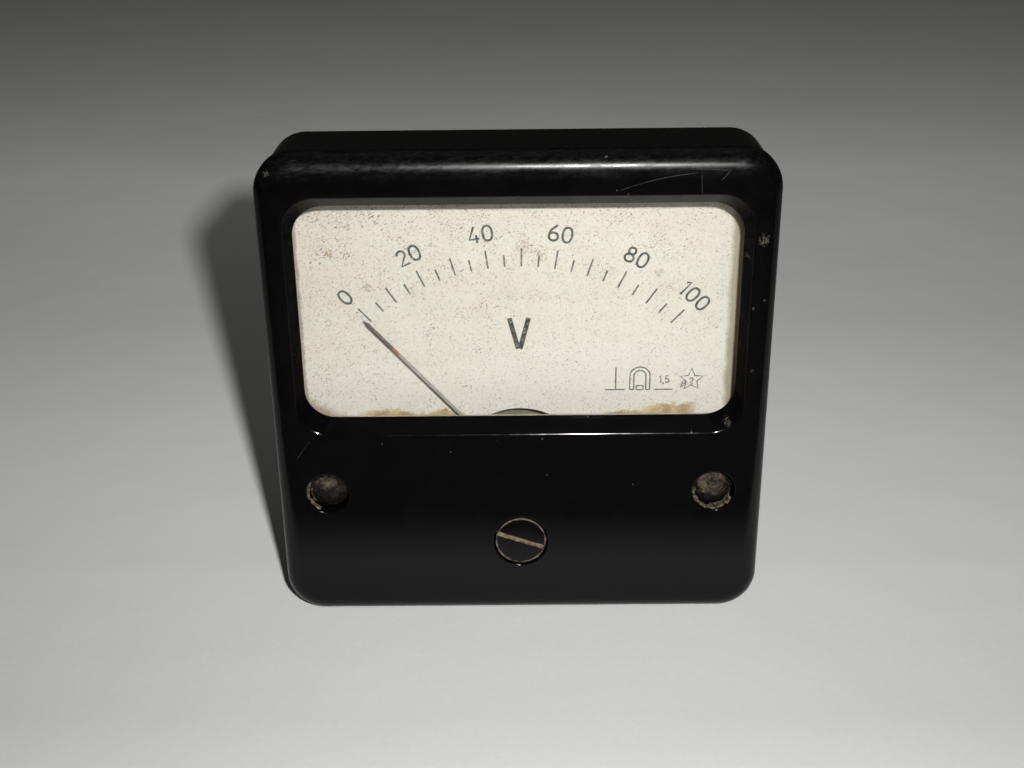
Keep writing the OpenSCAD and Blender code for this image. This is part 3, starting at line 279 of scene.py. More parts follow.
# Finishes
class Finish:
    """A node material in the making. A shader's socket is named with underscores for spaces."""

    def __init__(self, name, **sockets):
        self.material = bpy.data.materials.new(name)
        self.material.use_nodes = True
        self.tree = self.material.node_tree
        self.shader = self.tree.nodes["Principled BSDF"]
        for socket, value in sockets.items():
            self.shader.inputs[socket.replace("_", " ")].default_value = value
        self.object = self.add("TexCoord").outputs["Object"]
        self.where = self.place()

    def add(self, kind, sockets=(), **settings):
        """Adds a node, with a value or a link for each socket given."""
        made = self.tree.nodes.new("ShaderNode" + kind)
        for key, value in settings.items():
            setattr(made, key, value)
        for key, value in dict(sockets).items():
            if isinstance(value, bpy.types.NodeSocket):
                self.tree.links.new(value, made.inputs[key])
            else:
                made.inputs[key].default_value = value
        return made

    def place(self, scale=(1, 1, 1), turn=(0, 0, 0)):
        """Object coordinates, turned by degrees and then drawn together along the axes."""
        where = self.object
        if any(turn):
            angles = tuple(radians(a) for a in turn)
            where = self.add("Mapping", {"Vector": where, "Rotation": angles}).outputs[0]
        return self.add("Mapping", {"Vector": where, "Scale": scale}).outputs[0]

    def coordinate(self, axis):
        return self.add("SeparateXYZ", {0: self.object}).outputs[axis]

    def cloud(self, size, detail=3.0, rough=0.5, where=None):
        where = self.where if where is None else where
        return self.add("TexNoise", {"Vector": where, "Scale": size, "Detail": detail,
                                     "Roughness": rough}).outputs["Fac"]

    def cells(self, size, output="Distance"):
        return self.add("TexVoronoi", {"Vector": self.where, "Scale": size}).outputs[output]

    def level(self, value, low, high, out_low=0.0, out_high=1.0):
        """Carries low to high over to out_low to out_high, and holds the ends beyond."""
        return self.add("MapRange", {"Value": value, "From Min": low, "From Max": high,
                                     "To Min": out_low, "To Max": out_high}).outputs[0]

    def calc(self, how, a, b=0.0):
        return self.add("Math", {0: a, 1: b}, operation=how).outputs[0]

    def plus(self, a, b):
        return self.calc("ADD", a, b)

    def minus(self, a, b):
        return self.calc("SUBTRACT", a, b)

    def times(self, first, *others):
        for other in others:
            first = self.calc("MULTIPLY", first, other)
        return first

    def most(self, a, b):
        return self.calc("MAXIMUM", a, b)

    def size_of(self, a):
        return self.calc("ABSOLUTE", a)

    def blend(self, amount, a, b):
        """Mixes two colours, each a socket or its red, green and blue."""
        a, b = ((*c, 1) if isinstance(c, tuple) else c for c in (a, b))
        return self.add("Mix", {0: amount, 6: a, 7: b}, data_type="RGBA").outputs[2]

    def relief(self, height, depth, strength):
        bump = self.add("Bump", {"Height": height, "Distance": depth, "Strength": strength})
        self.give(Normal=bump.outputs[0])

    def give(self, **sockets):
        for socket, value in sockets.items():
            self.tree.links.new(value, self.shader.inputs[socket.replace("_", " ")])

    def offset_from(self, x, z):
        """How far a point of the front lies to the right of a place and above it, in metres."""
        return self.minus(self.coordinate(0), x * MM), self.minus(self.coordinate(2), z * MM)

    def radius_about(self, x, z):
        dx, dz = self.offset_from(x, z)
        return self.calc("SQRT", self.plus(self.times(dx, dx), self.times(dz, dz)))

    def hairlines(self, turn, length, width, low, high):
        """Fine scratches in the plane of the front: long in one direction, narrow in the other."""
        where = self.place((1 / length, 0.3 / length, 1 / width), (0, turn, 0))
        return self.level(self.cloud(1000.0, 1.0, 0.4, where), low, high)

    def patch_at(self, x, z, radius, size):
        """Broken flakes within a round patch of the front."""
        inside = self.level(self.radius_about(x, z), 0.4 * radius * MM, radius * MM, 1, 0)
        broken = self.plus(self.cloud(size, 5.0, 0.75), self.times(inside, 0.14))
        return self.times(self.level(broken, 0.6, 0.66), self.level(inside, 0, 0.3))

    def scratch_at(self, x, z, turn, long, wide):
        """One scratch: a thin bowed line of a given half length through a place, rising by an angle."""
        dx, dz = self.offset_from(x, z)
        c, s = cos(radians(turn)), sin(radians(turn))
        along = self.plus(self.times(dx, c), self.times(dz, s))
        across = self.minus(self.times(dz, c), self.times(dx, s))
        across = self.size_of(self.plus(across, self.times(along, along, 12.0)))
        broken = self.level(self.cloud(900.0, 3.0, 0.6), 0.36, 0.52, 0.2, 1)
        line = self.times(self.level(across, 0.4 * wide * MM, wide * MM, 1, 0), broken)
        return self.times(line, self.level(self.size_of(along), 0.7 * long * MM, long * MM, 1, 0))


def moulding(name, wear=1.0, grime=0.0, front=True, shine=0.30, dull=0.0, painted_lip_reflection=0.0):
    """Polished black moulding: smudges, dust, hairlines, and edges scuffed dull by handling."""
    f = Finish(name, Specular_IOR_Level=shine)
    broad = f.cloud(60.0, 4.0, 0.55)
    smudge = f.cloud(310.0, 5.0, 0.62)
    fine = f.cloud(1900.0, 3.0, 0.6)
    scratch = f.most(f.hairlines(24, 7.0, 0.10, 0.69, 0.77), f.hairlines(-62, 5.0, 0.12, 0.70, 0.78))
    scratch = f.times(scratch, f.level(f.cloud(90.0, 2.0), 0.50, 0.70, 0, 0.16 * wear))
    x, y, z = (f.coordinate(axis) for axis in range(3))
    outer = f.most(f.size_of(x), f.size_of(z))
    brow = f.times(f.level(z, *BROW_HEIGHT), f.level(y, *BROW_DEPTH))
    rim = f.times(f.level(outer, *RIM_REACH), f.level(y, *RIM_DEPTH))
    rub = f.cloud(1500.0, 6.0, 0.72, where=f.place((0.45, 1, 1.5), (0, 5, 0)))
    scuff = f.times(f.level(rub, 0.47, 0.66), f.most(brow, f.times(rim, 0.45)))
    few = f.level(f.add("SeparateColor", {0: f.cells(540.0, "Color")}).outputs[0], 0.90, 0.92)
    ragged = f.plus(f.cells(540.0), f.times(fine, 0.16))
    dust = f.times(f.level(ragged, 0.13, 0.17, 1, 0), few, 0.8 * wear)
    if front:
        for spot in FLAKES:
            dust = f.most(dust, f.patch_at(*spot))
        for line in SCRATCHES:
            scratch = f.most(scratch, f.scratch_at(*line))
    body = f.blend(smudge, (0.0013, 0.0012, 0.0014), (0.0031, 0.0026, 0.0027))
    body = f.blend(f.times(scuff, 0.16), body, (0.03, 0.03, 0.033))
    body = f.blend(f.times(scratch, 0.42), body, (0.085, 0.085, 0.09))
    body = f.blend(f.times(dust, 0.55), body, (0.12, 0.105, 0.09))
    if grime:
        film = f.level(f.cloud(130.0, 6.0, 0.65), 0.42, 0.72, 0, grime)
        body = f.blend(film, body, (0.035, 0.03, 0.024))
    gloss = f.level(broad, 0.3, 0.7, 0.07 + dull, 0.14 + dull)
    gloss = f.plus(gloss, f.level(smudge, 0.45, 0.75, 0, 0.10))
    gloss = f.plus(gloss, f.times(brow, f.level(rub, 0.3, 0.7, 0.06, 0.24)))
    gloss = f.plus(gloss, f.times(f.plus(scratch, dust), 0.3))
    # Painted reflection: the top of the window's lip reflects more than its sides.
    if painted_lip_reflection:
        above = f.times(f.level(z, *LIP_REFLECTION_HEIGHT), f.level(f.size_of(x), *LIP_REFLECTION_REACH))
        gloss = f.plus(gloss, f.times(above, 0.10))
        f.give(Specular_IOR_Level=f.plus(f.times(above, painted_lip_reflection), shine))
    f.give(Base_Color=body, Roughness=gloss)
    ripple = f.minus(f.times(fine, 0.2), scratch)
    ripple = f.plus(ripple, f.times(rub, brow, 1.4))
    f.relief(ripple, 0.00001, 0.5)
    return f.material


def metal(name, dark, light, rough, size, stretch, tarnish=None, amount=0.5, metallic=1.0):
    """Worked metal: tool marks one way, colour that drifts, and tarnish in patches."""
    f = Finish(name, Metallic=metallic)
    drift = f.cloud(size, 5.0, 0.6)
    marks = f.cloud(2600.0, 2.0, 0.5, where=f.place(stretch))
    colour = f.blend(f.level(drift, 0.3, 0.7), dark, light)
    colour = f.blend(f.level(marks, 0.35, 0.75, 0, 0.25), colour, dark)
    if tarnish:
        patch = f.level(f.cloud(size * 1.7, 6.0, 0.7), 0.5, 0.68, 0, amount)
        colour = f.blend(patch, colour, tarnish)
    f.give(Base_Color=colour, Roughness=f.level(drift, 0.25, 0.75, rough[1], rough[0]))
    f.relief(marks, 0.00001, 0.4)
    return f.material


def enamel(name):
    """Cream scale paint: mottling, slanting age specks thicker above and to the left, stains at the foot, and
    painted light and shade: paler at the foot, darker under the top lip.
    """
    f = Finish(name, Specular_IOR_Level=0.3)
    x, z = f.coordinate(0), f.coordinate(2)
    broad = f.cloud(90.0, 4.0, 0.6)
    mottle = f.cloud(420.0, 5.0, 0.68)
    grain = f.cloud(2300.0, 3.0, 0.7)
    high = f.level(z, 0.002, 0.030)
    left = f.level(x, 0.012, -0.036)
    age = f.plus(f.times(high, 0.6), f.times(left, 0.45))
    colour = f.blend(f.level(broad, 0.3, 0.7), (0.74, 0.705, 0.618), (0.785, 0.762, 0.68))
    colour = f.blend(f.times(left, 0.4), colour, (0.64, 0.60, 0.52))
    # Painted light: the scale is paler towards its foot.
    colour = f.blend(f.level(z, 0.014, -0.004, 0, 0.75), colour, (0.87, 0.85, 0.77))
    # Painted shade: the scale darkens towards the window's top lip.
    colour = f.blend(f.level(z, 0.022, 0.031, 0, 0.35), colour, (0.66, 0.62, 0.53))
    blush = f.times(f.level(mottle, 0.46, 0.66), f.level(age, 0, 1, 0.15, 0.60))
    colour = f.blend(blush, colour, (0.72, 0.625, 0.525))
    colour = f.blend(f.level(grain, 0.50, 0.72, 0, 0.45), colour, (0.47, 0.43, 0.36))
    slant = f.place((1.0, 1.0, 2.3), (0, 38, 0))
    patchy = f.cloud(300.0, 3.0, 0.6)
    thick = f.plus(f.times(age, 0.055), f.level(patchy, 0.35, 0.65, -0.02, 0.05))
    for size, low, deep in ((2300.0, 0.658, 0.85), (1300.0, 0.688, 0.85)):
        speck = f.level(f.plus(f.cloud(size, 2.5, 0.6, slant), thick), low, low + 0.05)
        colour = f.blend(f.times(speck, deep), colour, (0.16, 0.14, 0.115))
    pin = f.level(f.cells(1500.0), 0.08, 0.17, 1, 0)
    pin = f.times(pin, f.level(f.plus(patchy, f.times(age, 0.10)), 0.49, 0.55))
    colour = f.blend(f.times(pin, 0.6), colour, (0.15, 0.12, 0.09))
    for spot, shade, strength in AGE_SPOTS:
        colour = f.blend(f.times(f.patch_at(*spot), strength), colour, shade)
    ragged = f.cloud(330.0, 6.0, 0.7, where=f.place((1, 1, 1.6)))
    height = f.plus(z, f.level(ragged, 0.3, 0.7, -0.0011, 0.0011))
    rising = f.level(x, *RIGHT_STAIN_SLOPE)
    stain_left = f.times(f.level(height, *LEFT_STAIN_HEIGHT),
                         f.level(f.size_of(f.minus(x, LEFT_STAIN_X)), *LEFT_STAIN_REACH))
    stain_right = f.times(f.level(f.minus(height, rising), *RIGHT_STAIN_EDGE),
                          f.level(f.size_of(f.minus(x, RIGHT_STAIN_X)), *RIGHT_STAIN_REACH))
    stain = f.most(stain_left, stain_right)
    rim = f.plus(x, f.level(ragged, 0.3, 0.7, -0.00025, 0.00025))
    corner = f.plus(f.plus(f.times(x, 0.75), f.times(z, 0.66)), f.level(ragged, 0.3, 0.7, -0.0012, 0.0012))
    sill = f.plus(f.plus(f.times(x, -0.55), f.times(z, -0.83)), f.level(ragged, 0.3, 0.7, -0.0009, 0.0009))
    layers = ((stain, 0.75, (0.69, 0.53, 0.27)),
              (f.times(stain, f.level(f.cloud(160.0, 4.0, 0.65), 0.50, 0.60)), 0.62, (0.34, 0.22, 0.11)),
              (f.times(stain, f.level(height, *FOOT_LINE)), 0.4, (0.30, 0.20, 0.10)),
              (f.times(stain, f.level(grain, 0.58, 0.66)), 0.5, (0.22, 0.14, 0.07)),
              # The last five layers darken the scale along the window's edge: a band and a line at the right, the
              # top right and bottom left corners, and a line at the left. They stand partly for discoloured paint
              # and partly for painted shade under the lip.
              (f.level(rim, *RIGHT_BAND), 0.9, (0.36, 0.31, 0.22)),
              (f.level(rim, *RIGHT_LINE), 0.7, (0.24, 0.175, 0.10)),
              (f.level(corner, *CORNER_EDGE), 0.75, (0.33, 0.23, 0.13)),
              (f.level(sill, *SILL_EDGE), 0.7, (0.30, 0.20, 0.10)),
              (f.level(rim, *LEFT_LINE), 0.6, (0.22, 0.16, 0.10)))
    for mask, strength, shade in layers:
        colour = f.blend(f.times(mask, strength), colour, shade)
    f.give(Base_Color=colour, Roughness=f.level(mottle, 0.3, 0.7, 0.45, 0.62))
    f.relief(f.minus(f.times(mottle, 0.3), f.times(pin, 0.6)), 0.00002, 0.5)
    return f.material


def ink(name, colour, thin):
    """Printed ink, worn through to the paint in places."""
    f = Finish(name, Specular_IOR_Level=0.3)
    worn = f.level(f.cloud(1400.0, 4.0, 0.65), 0.42, 0.72, 0, thin)
    rubbed = f.level(f.cloud(1100.0, 2.0, where=f.place((1, 1, 3), (0, 38, 0))), 0.62, 0.7, 0, 0.8 * thin)
    tone = f.blend(worn, colour, (0.52, 0.50, 0.43))
    tone = f.blend(rubbed, tone, (0.72, 0.68, 0.58))
    f.give(Base_Color=tone, Roughness=f.level(worn, 0, 1, 0.5, 0.65))
    return f.material


def pointer_paint(name):
    """Bare tube near the pivot, a red band, and a dark outer end."""
    f = Finish(name)
    out = f.radius_about(0, PIVOT_Z)
    grain = f.cloud(2200.0, 4.0, 0.65)
    bare = f.blend(grain, (0.22, 0.215, 0.19), (0.36, 0.35, 0.315))
    dark = f.blend(grain, (0.055, 0.048, 0.038), (0.12, 0.105, 0.085))
    red = f.blend(grain, (0.22, 0.08, 0.06), (0.33, 0.13, 0.10))
    start = f.level(out, *RED_BAND)
    colour = f.blend(start, bare, red)
    colour = f.blend(f.level(out, *DARK_END), colour, dark)
    f.give(Base_Color=colour, Roughness=f.level(grain, 0.3, 0.7, 0.38, 0.6),
           Metallic=f.level(start, 0, 1, 0.15, 0.0))
    f.relief(grain, 0.00001, 0.4)
    return f.material


def window_pane(name):
    """Clear sheet glass with a thin film of dust. Lamps reach what is behind it."""
    f = Finish(name, Transmission_Weight=1.0, IOR=1.5)
    film = f.cloud(240.0, 6.0, 0.7)
    tint = f.blend(f.level(film, 0.4, 0.75), (0.985, 0.99, 0.985), (0.95, 0.95, 0.93))
    f.give(Base_Color=tint, Roughness=f.level(film, 0.45, 0.8, 0.0, 0.03))
    output = f.tree.nodes["Material Output"]
    passing = f.add("BsdfTransparent", {"Color": (0.97, 0.97, 0.965, 1)})
    path = f.add("LightPath").outputs
    inner = f.add("MixShader", {0: path["Is Diffuse Ray"], 1: f.shader.outputs[0], 2: passing.outputs[0]})
    mixed = f.add("MixShader", {0: path["Is Shadow Ray"], 1: inner.outputs[0], 2: passing.outputs[0]})
    f.tree.links.new(mixed.outputs[0], output.inputs["Surface"])
    return f.material


def crumbly(name, dark, light, size, shine, split=(0.41, 0.60), depth=0.00012):
    """Wax, dirt and dust, rough at two sizes."""
    f = Finish(name, Specular_IOR_Level=0.25)
    lumps = f.cloud(size, 6.0, 0.7)
    grit = f.cloud(size * 3.5, 4.0, 0.7)
    tone = f.plus(f.times(lumps, 0.65), f.times(grit, 0.35))
    colour = f.blend(f.level(tone, *split), dark, light)
    f.give(Base_Color=colour, Roughness=f.level(grit, 0.3, 0.7, *shine))
    f.relief(tone, depth, 0.9)
    return f.material


def pressed_card(name):
    f = Finish(name, Specular_IOR_Level=0.2)
    fibre = f.cloud(1300.0, 5.0, 0.7, where=f.place((1, 4, 1)))
    stain = f.cloud(180.0, 4.0, 0.6)
    colour = f.blend(fibre, (0.40, 0.31, 0.19), (0.62, 0.52, 0.36))
    colour = f.blend(f.level(stain, 0.5, 0.7, 0, 0.6), colour, (0.24, 0.16, 0.08))
    f.give(Base_Color=colour, Roughness=f.level(fibre, 0.3, 0.7, 0.75, 0.92))
    f.relief(fibre, 0.00004, 0.7)
    return f.material


def wound(name, dark, light, pitch, axis, metallic):
    """Layers of fine wire: a thread line for each turn, with a few uneven turns."""
    f = Finish(name, Metallic=metallic)
    along = f.plus(f.coordinate(axis), f.times(f.cloud(300.0), 0.00025))
    turn = f.calc("PINGPONG", along, pitch / 2)
    ridge = f.level(turn, 0, pitch / 2)
    drift = f.cloud(500.0, 4.0)
    colour = f.blend(ridge, dark, light)
    colour = f.blend(f.level(drift, 0.5, 0.75, 0, 0.5), colour, dark)
    f.give(Base_Color=colour, Roughness=f.level(drift, 0.3, 0.7, 0.3, 0.5))
    f.relief(ridge, 0.00006, 0.8)
    return f.material


def hard_fibre(name):
    f = Finish(name, Specular_IOR_Level=0.35)
    fibre = f.cloud(1500.0, 4.0, 0.6, where=f.place((1, 3, 1)))
    colour = f.blend(fibre, (0.16, 0.06, 0.03), (0.34, 0.15, 0.07))
    f.give(Base_Color=colour, Roughness=f.level(f.cloud(200.0), 0.3, 0.7, 0.42, 0.65))
    f.relief(fibre, 0.00002, 0.5)
    return f.material


def woven_cover(name):
    """Cotton covering on the leads: two crossing sets of threads."""
    f = Finish(name, Specular_IOR_Level=0.15, Sheen_Weight=0.3)
    threads = [f.add("TexWave", {"Vector": f.place(turn=turn), "Scale": 420.0, "Distortion": 1.0}).outputs["Fac"]
               for turn in ((0, 45, 20), (45, -45, 0))]
    weave = f.times(*threads)
    colour = f.blend(weave, (0.12, 0.02, 0.018), (0.36, 0.07, 0.05))
    f.give(Base_Color=colour, Roughness=f.level(weave, 0, 1, 0.9, 0.75))
    f.relief(weave, 0.00006, 0.8)
    return f.material


# Flaked patches of the front: x, z and radius in millimetres, and how fine the flakes are.
FLAKES = ((37.3, 26.2, 1.2, 2600.0), (35.1, 23.2, 0.5, 2600.0), (36.2, 15.1, 0.35, 2600.0),
          (37.9, 16.5, 0.3, 2600.0), (36.8, 4.6, 0.4, 2600.0), (33.4, -4.6, 0.8, 3000.0),
          (-37.4, 37.0, 0.7, 2600.0), (4.4, -13.6, 0.35, 900.0), (13.2, 39.0, 0.30, 1500.0),
          (-4.5, 38.9, 0.25, 1500.0))
# Long scratches: x, z, rise in degrees, half length and half width.
SCRATCHES = ((20.6, 35.7, 13, 6.6, 0.05), (28.6, 37.2, -3, 3.1, 0.045), (27.4, 35.2, 93, 1.9, 0.05),
             (30.9, 36.2, 50, 1.3, 0.05), (-35.2, -8.7, 54, 2.3, 0.045))
# Worn and stained places of the scale: x, z, radius and fineness of each, its colour and its strength.
FADED, RUST, SOOT = (0.40, 0.30, 0.20), (0.38, 0.18, 0.05), (0.10, 0.09, 0.07)
AGE_SPOTS = (((0.6, 22.2, 2.2, 2300.0), FADED, 0.4), ((3.8, 20.8, 1.4, 2300.0), FADED, 0.45),
             ((22.6, 17.9, 1.0, 2100.0), (0.36, 0.24, 0.15), 0.5),
             ((-30.2, 21.5, 1.0, 2900.0), (0.40, 0.20, 0.12), 0.7),
             ((-24.4, 15.8, 1.1, 2400.0), (0.28, 0.21, 0.15), 0.6), ((27.2, -1.8, 0.9, 1500.0), SOOT, 0.85),
             ((-12.4, -6.7, 1.5, 700.0), RUST, 0.9), ((-27.0, 26.0, 0.9, 2600.0), (0.20, 0.17, 0.13), 0.6))
black_moulding = moulding("polished black moulding")
# A copy of the front's moulding that reflects little: painted shade on the window's lip, with a painted
# reflection raised on its top.
shaded_lip_moulding = moulding("shaded black moulding of the lip", shine=0.012, dull=0.12, painted_lip_reflection=0.08)
rear_moulding = moulding("black moulding of the base", wear=1.3, grime=0.35, front=False)
scale_paint = enamel("cream scale paint")
dial_ink = ink("dark printing ink", (0.048, 0.066, 0.060), 0.35)
tick_ink = ink("thin printing ink", (0.09, 0.105, 0.095), 0.5)
bold_ink = ink("bold printing ink", (0.030, 0.042, 0.038), 0.35)
faint_ink = ink("faint printing ink", (0.095, 0.105, 0.092), 0.65)
glass = window_pane("window pane")
card = pressed_card("pressed card")
pointer_finish = pointer_paint("pointer tube and paint")
tinned = metal("tinned sheet", (0.34, 0.32, 0.28), (0.55, 0.53, 0.48), (0.38, 0.6), 320.0, (1, 1, 6),
               (0.16, 0.11, 0.07), 0.6)
shield_sheet = metal("dull shield sheet", (0.22, 0.19, 0.13), (0.34, 0.31, 0.23), (0.55, 0.75), 420.0,
                     (8, 1, 1), (0.16, 0.10, 0.05), 0.55, 0.25)
steel = metal("bright steel", (0.36, 0.36, 0.37), (0.60, 0.60, 0.62), (0.22, 0.4), 380.0, (1, 8, 1),
              (0.20, 0.13, 0.08), 0.35)
aged_brass = metal("aged brass", (0.20, 0.145, 0.07), (0.42, 0.32, 0.16), (0.35, 0.6), 520.0, (1, 7, 1),
                   (0.09, 0.065, 0.04), 0.7)
brass = metal("lacquered brass", (0.52, 0.37, 0.15), (0.74, 0.57, 0.28), (0.2, 0.36), 300.0, (7, 1, 1),
              (0.32, 0.19, 0.08), 0.4)
iron = metal("machined soft iron", (0.20, 0.20, 0.21), (0.36, 0.36, 0.37), (0.32, 0.5), 300.0, (1, 8, 1),
             (0.14, 0.09, 0.06), 0.4)
aluminium = metal("thin aluminium", (0.52, 0.52, 0.53), (0.72, 0.72, 0.73), (0.3, 0.45), 420.0, (1, 1, 7))
bronze = metal("spring bronze", (0.46, 0.29, 0.11), (0.68, 0.48, 0.22), (0.22, 0.38), 420.0, (6, 1, 6))
nickel = metal("nickelled screws", (0.46, 0.44, 0.40), (0.68, 0.66, 0.61), (0.2, 0.36), 420.0, (1, 8, 1),
               (0.28, 0.20, 0.10), 0.4)
lacquer = metal("red magnet lacquer", (0.16, 0.015, 0.012), (0.30, 0.04, 0.028), (0.22, 0.42), 240.0,
                (1, 1, 1), (0.07, 0.02, 0.018), 0.5, 0.0)
copper = wound("enamelled copper wire", (0.16, 0.05, 0.02), (0.55, 0.22, 0.10), 0.00012, 0, 0.8)
resistance = wound("enamelled resistance wire", (0.03, 0.014, 0.008), (0.17, 0.08, 0.045), 0.00022, 1, 0.4)
fibre = hard_fibre("turned hard fibre")
cotton = woven_cover("woven cotton covering")
blackened = metal("blackened screws", (0.010, 0.008, 0.006), (0.045, 0.036, 0.027), (0.5, 0.75), 520.0,
                  (1, 7, 1), metallic=0.6)
wax = crumbly("black sealing wax", (0.002, 0.0018, 0.0016), (0.016, 0.0135, 0.011), 1300.0, (0.08, 0.26),
              depth=0.0004)
dust = crumbly("pale packed dust", (0.006, 0.0045, 0.003), (0.24, 0.19, 0.125), 1500.0, (0.7, 0.95),
               (0.46, 0.59))
flaked_wax = crumbly("brown flaked wax", (0.006, 0.0045, 0.003), (0.115, 0.084, 0.056), 900.0, (0.5, 0.8),
                     (0.44, 0.60))
tan_dirt = crumbly("tan packed dirt", (0.06, 0.038, 0.020), (0.25, 0.195, 0.125), 800.0, (0.75, 0.95))
ring_dirt = crumbly("old dirt in the groove", (0.026, 0.021, 0.015), (0.17, 0.135, 0.092), 260.0, (0.7, 0.95),
                    (0.45, 0.56))

carried = {
    glass: ["window_glass"], card: ["glass_gasket"], scale_paint: ["scale_plate"],
    tinned: ["glass_retainer", "terminal_washers", "terminal_tags"], shield_sheet: ["movement_shield"],
    steel: ["adjuster_clip", "movement_screws", "panel_studs", "stop_pins", "pivot_staffs"],
    aged_brass: ["cover_screws", "terminal_studs", "terminal_nuts"],
    iron: ["pole_pieces", "core"], aluminium: ["coil_former"], pointer_finish: ["pointer"],
    lacquer: ["magnet"], copper: ["coil_winding"], resistance: ["resistor_windings"],
    bronze: ["front_hairspring", "rear_hairspring"], fibre: ["resistor_bobbins"], cotton: ["lead_wires"],
    nickel: ["resistor_screws"], rear_moulding: ["base_case"],
    black_moulding: ["front_cover", "zero_adjuster"],
}
named = {name for group in carried.values() for name in group}
carried[brass] = sorted(set(nodes) - named)
for finish, group in carried.items():
    for name in group:
        nodes[name].data.materials.clear()
        nodes[name].data.materials.append(finish)


# Front cover
WINDOW_W, WINDOW_H, WINDOW_CORNER, WINDOW_Z = 69.3, 35.5, 3.7, 13.55
GLASS_W, GLASS_H = 72.0, 39.1
LIP_SIDE, LIP_TOP, WALL = 1.25, 2.05, 3.0
ROLL, ROLL_DEPTH = 0.42, 0.32


def lip_section(depth):
    """Width and height of the window's bevelled lip at a depth behind the front."""
    share = max(0.0, 1 - max(depth, 0.0) / WALL)
    roll = ROLL * max(0.0, 1 - max(depth, 0.0) / ROLL_DEPTH) ** 2.2
    return FRONT + depth, WINDOW_W + 2 * (LIP_SIDE * share + roll), WINDOW_H + 2 * (LIP_TOP * share + roll)


cover = block("cover", (-HALF_FRONT, FRONT, -HALF_FRONT), (HALF_FRONT, SKIRT_Y, HALF_FRONT))
round_edges(cover, edge_along(1), 6.5, 18)
choose(cover, face_towards(1, 1))
bpy.ops.mesh.inset(thickness=0.45, depth=0)
draw_back(-SKIRT_Y)
leave()
round_edges(cover, edge_on(1, FRONT), 3.0, 9)
round_edges(cover, lambda e: edge_on(1, SKIRT_Y)(e) and e.is_convex, 0.35, 3)
round_edges(cover, edge_on(1, 0.0), 0.25, 2)
cut(cover, plate("cavity", (-37, -14, -37), (37, 1, 37), 3.5, 8))
lip_depths = (-0.5, 0.0, 0.04, 0.09, 0.15, 0.23, ROLL_DEPTH, WALL, WALL + 1)
cut(cover, drawn_through("lip", WINDOW_CORNER + 1.65, WINDOW_Z, [lip_section(depth) for depth in lip_depths]))
for side in SIDES:
    screw_x, boss_x, hook_x = side * SCREW_X, side * BOSS_X, side * HOOK_X
    weld(cover, turned("pillar", screw_x, SCREW_Z, [(-14.5, 4.4), (-4.3, 4.4), (-4.0, 4.1)], 48))
    weld(cover, turned("boss", boss_x, BOSS_Z, [(-14.5, 2.2), (-11.4, 2.2)], 32))
    cut(cover, turned("recess", screw_x, SCREW_Z, [(-17.6, 3.74), (FRONT, 3.74), (-16.95, 3.63), (-16.87, 3.55),
                                                   (-16.76, 3.5), (-13.4, 3.5)], 72))
    cut(cover, turned("shank hole", screw_x, SCREW_Z, [(-13.6, 1.5), (-3, 1.5)], 32))
    cut(cover, turned("tapping", boss_x, BOSS_Z, [(-15, 0.95), (-11, 0.95)], 24))
    weld(cover, block("hook foot", (hook_x - 4, -14.1, 33.2), (hook_x + 4, -12, 37.1)))
    weld(cover, block("hook", (hook_x - 4, -10.85, 33.5), (hook_x + 4, -9.85, 37.1)))
weld(cover, block("shelf", (-32, -14.1, -7.3), (32, -12, -6.1)))
cut(cover, turned("adjuster seat", 0, ADJUSTER_Z, [(-17.6, 4.74), (FRONT, 4.74), (-16.96, 4.64), (-16.9, 4.57),
                                                   (-16.8, 4.52), (-15.2, 4.52)], 96))
cut(cover, turned("neck hole", 0, ADJUSTER_Z, [(-15.4, 2.56), (-13, 2.56)], 48))
settle(cover, "moulded_cover", black_moulding, "moulded_black", "front_cover", angle=38)
cover.data.materials.append(shaded_lip_moulding)
# The window's lip is duller than the front at its sides and top, and reflects little there: painted shade. Its
# foot faces up and stays bright.
LIP_LOW, LIP_HIGH = (-36.2, -16.65, -6.6), (36.2, -13.9, 33.6)
for face in cover.data.polygons:
    on_lip = all(low < at < high for low, at, high in zip(LIP_LOW, face.center / MM, LIP_HIGH))
    if on_lip and abs(face.normal.y) < 0.9 and face.normal.z < 0.6:
        face.material_index = 1

# The card's opening sits low, so the card shows at the top of the window and not at the foot.
card_frame = plate("gasket", (-GLASS_W / 2, -12.0, WINDOW_Z - GLASS_H / 2),
                   (GLASS_W / 2, -11.4, WINDOW_Z + GLASS_H / 2), 1.5, 6)
cut(card_frame, plate("opening", (-34.95, -13.0, -5.15), (34.95, -10.0, 31.45), WINDOW_CORNER, 12))
settle(card_frame, "window_gasket", card, "card", "glass_gasket")

# Zero adjuster
SLOT_TURN = radians(19.5)
head = turned("head", 0, ADJUSTER_Z, [(-16.9, 1.2), (-16.89, 2.6), (-16.85, 3.5), (-16.77, 4.0), (-16.66, 4.25),
                                       (-16.5, 4.38), (-16.35, 4.4), (-15.25, 4.4)], 96)
weld(head, turned("neck", 0, ADJUSTER_Z, [(-15.6, 2.5), (-13.88, 2.5), (-13.88, 2.0), (-13.45, 2.0),
                                          (-13.45, 2.5), (-13.15, 2.5)], 48))
weld(head, turned("eccentric pin", 0, PIN_Z, [(-13.4, 0.6), (-11.85, 0.6), (-11.75, 0.5)], 32))
slot_tool = block("slot", (-6, -18, -0.45), (6, -16.1, 0.45))
round_edges(slot_tool, lambda e: edge_along(0)(e) and edge_on(1, -16.1)(e), 0.12, 2)
cut(head, stand(slot_tool, (0, 0, ADJUSTER_Z), (0, SLOT_TURN, 0)))
settle(head, "adjuster_head", black_moulding, "moulded_black", "zero_adjuster", body="zero_adjuster")


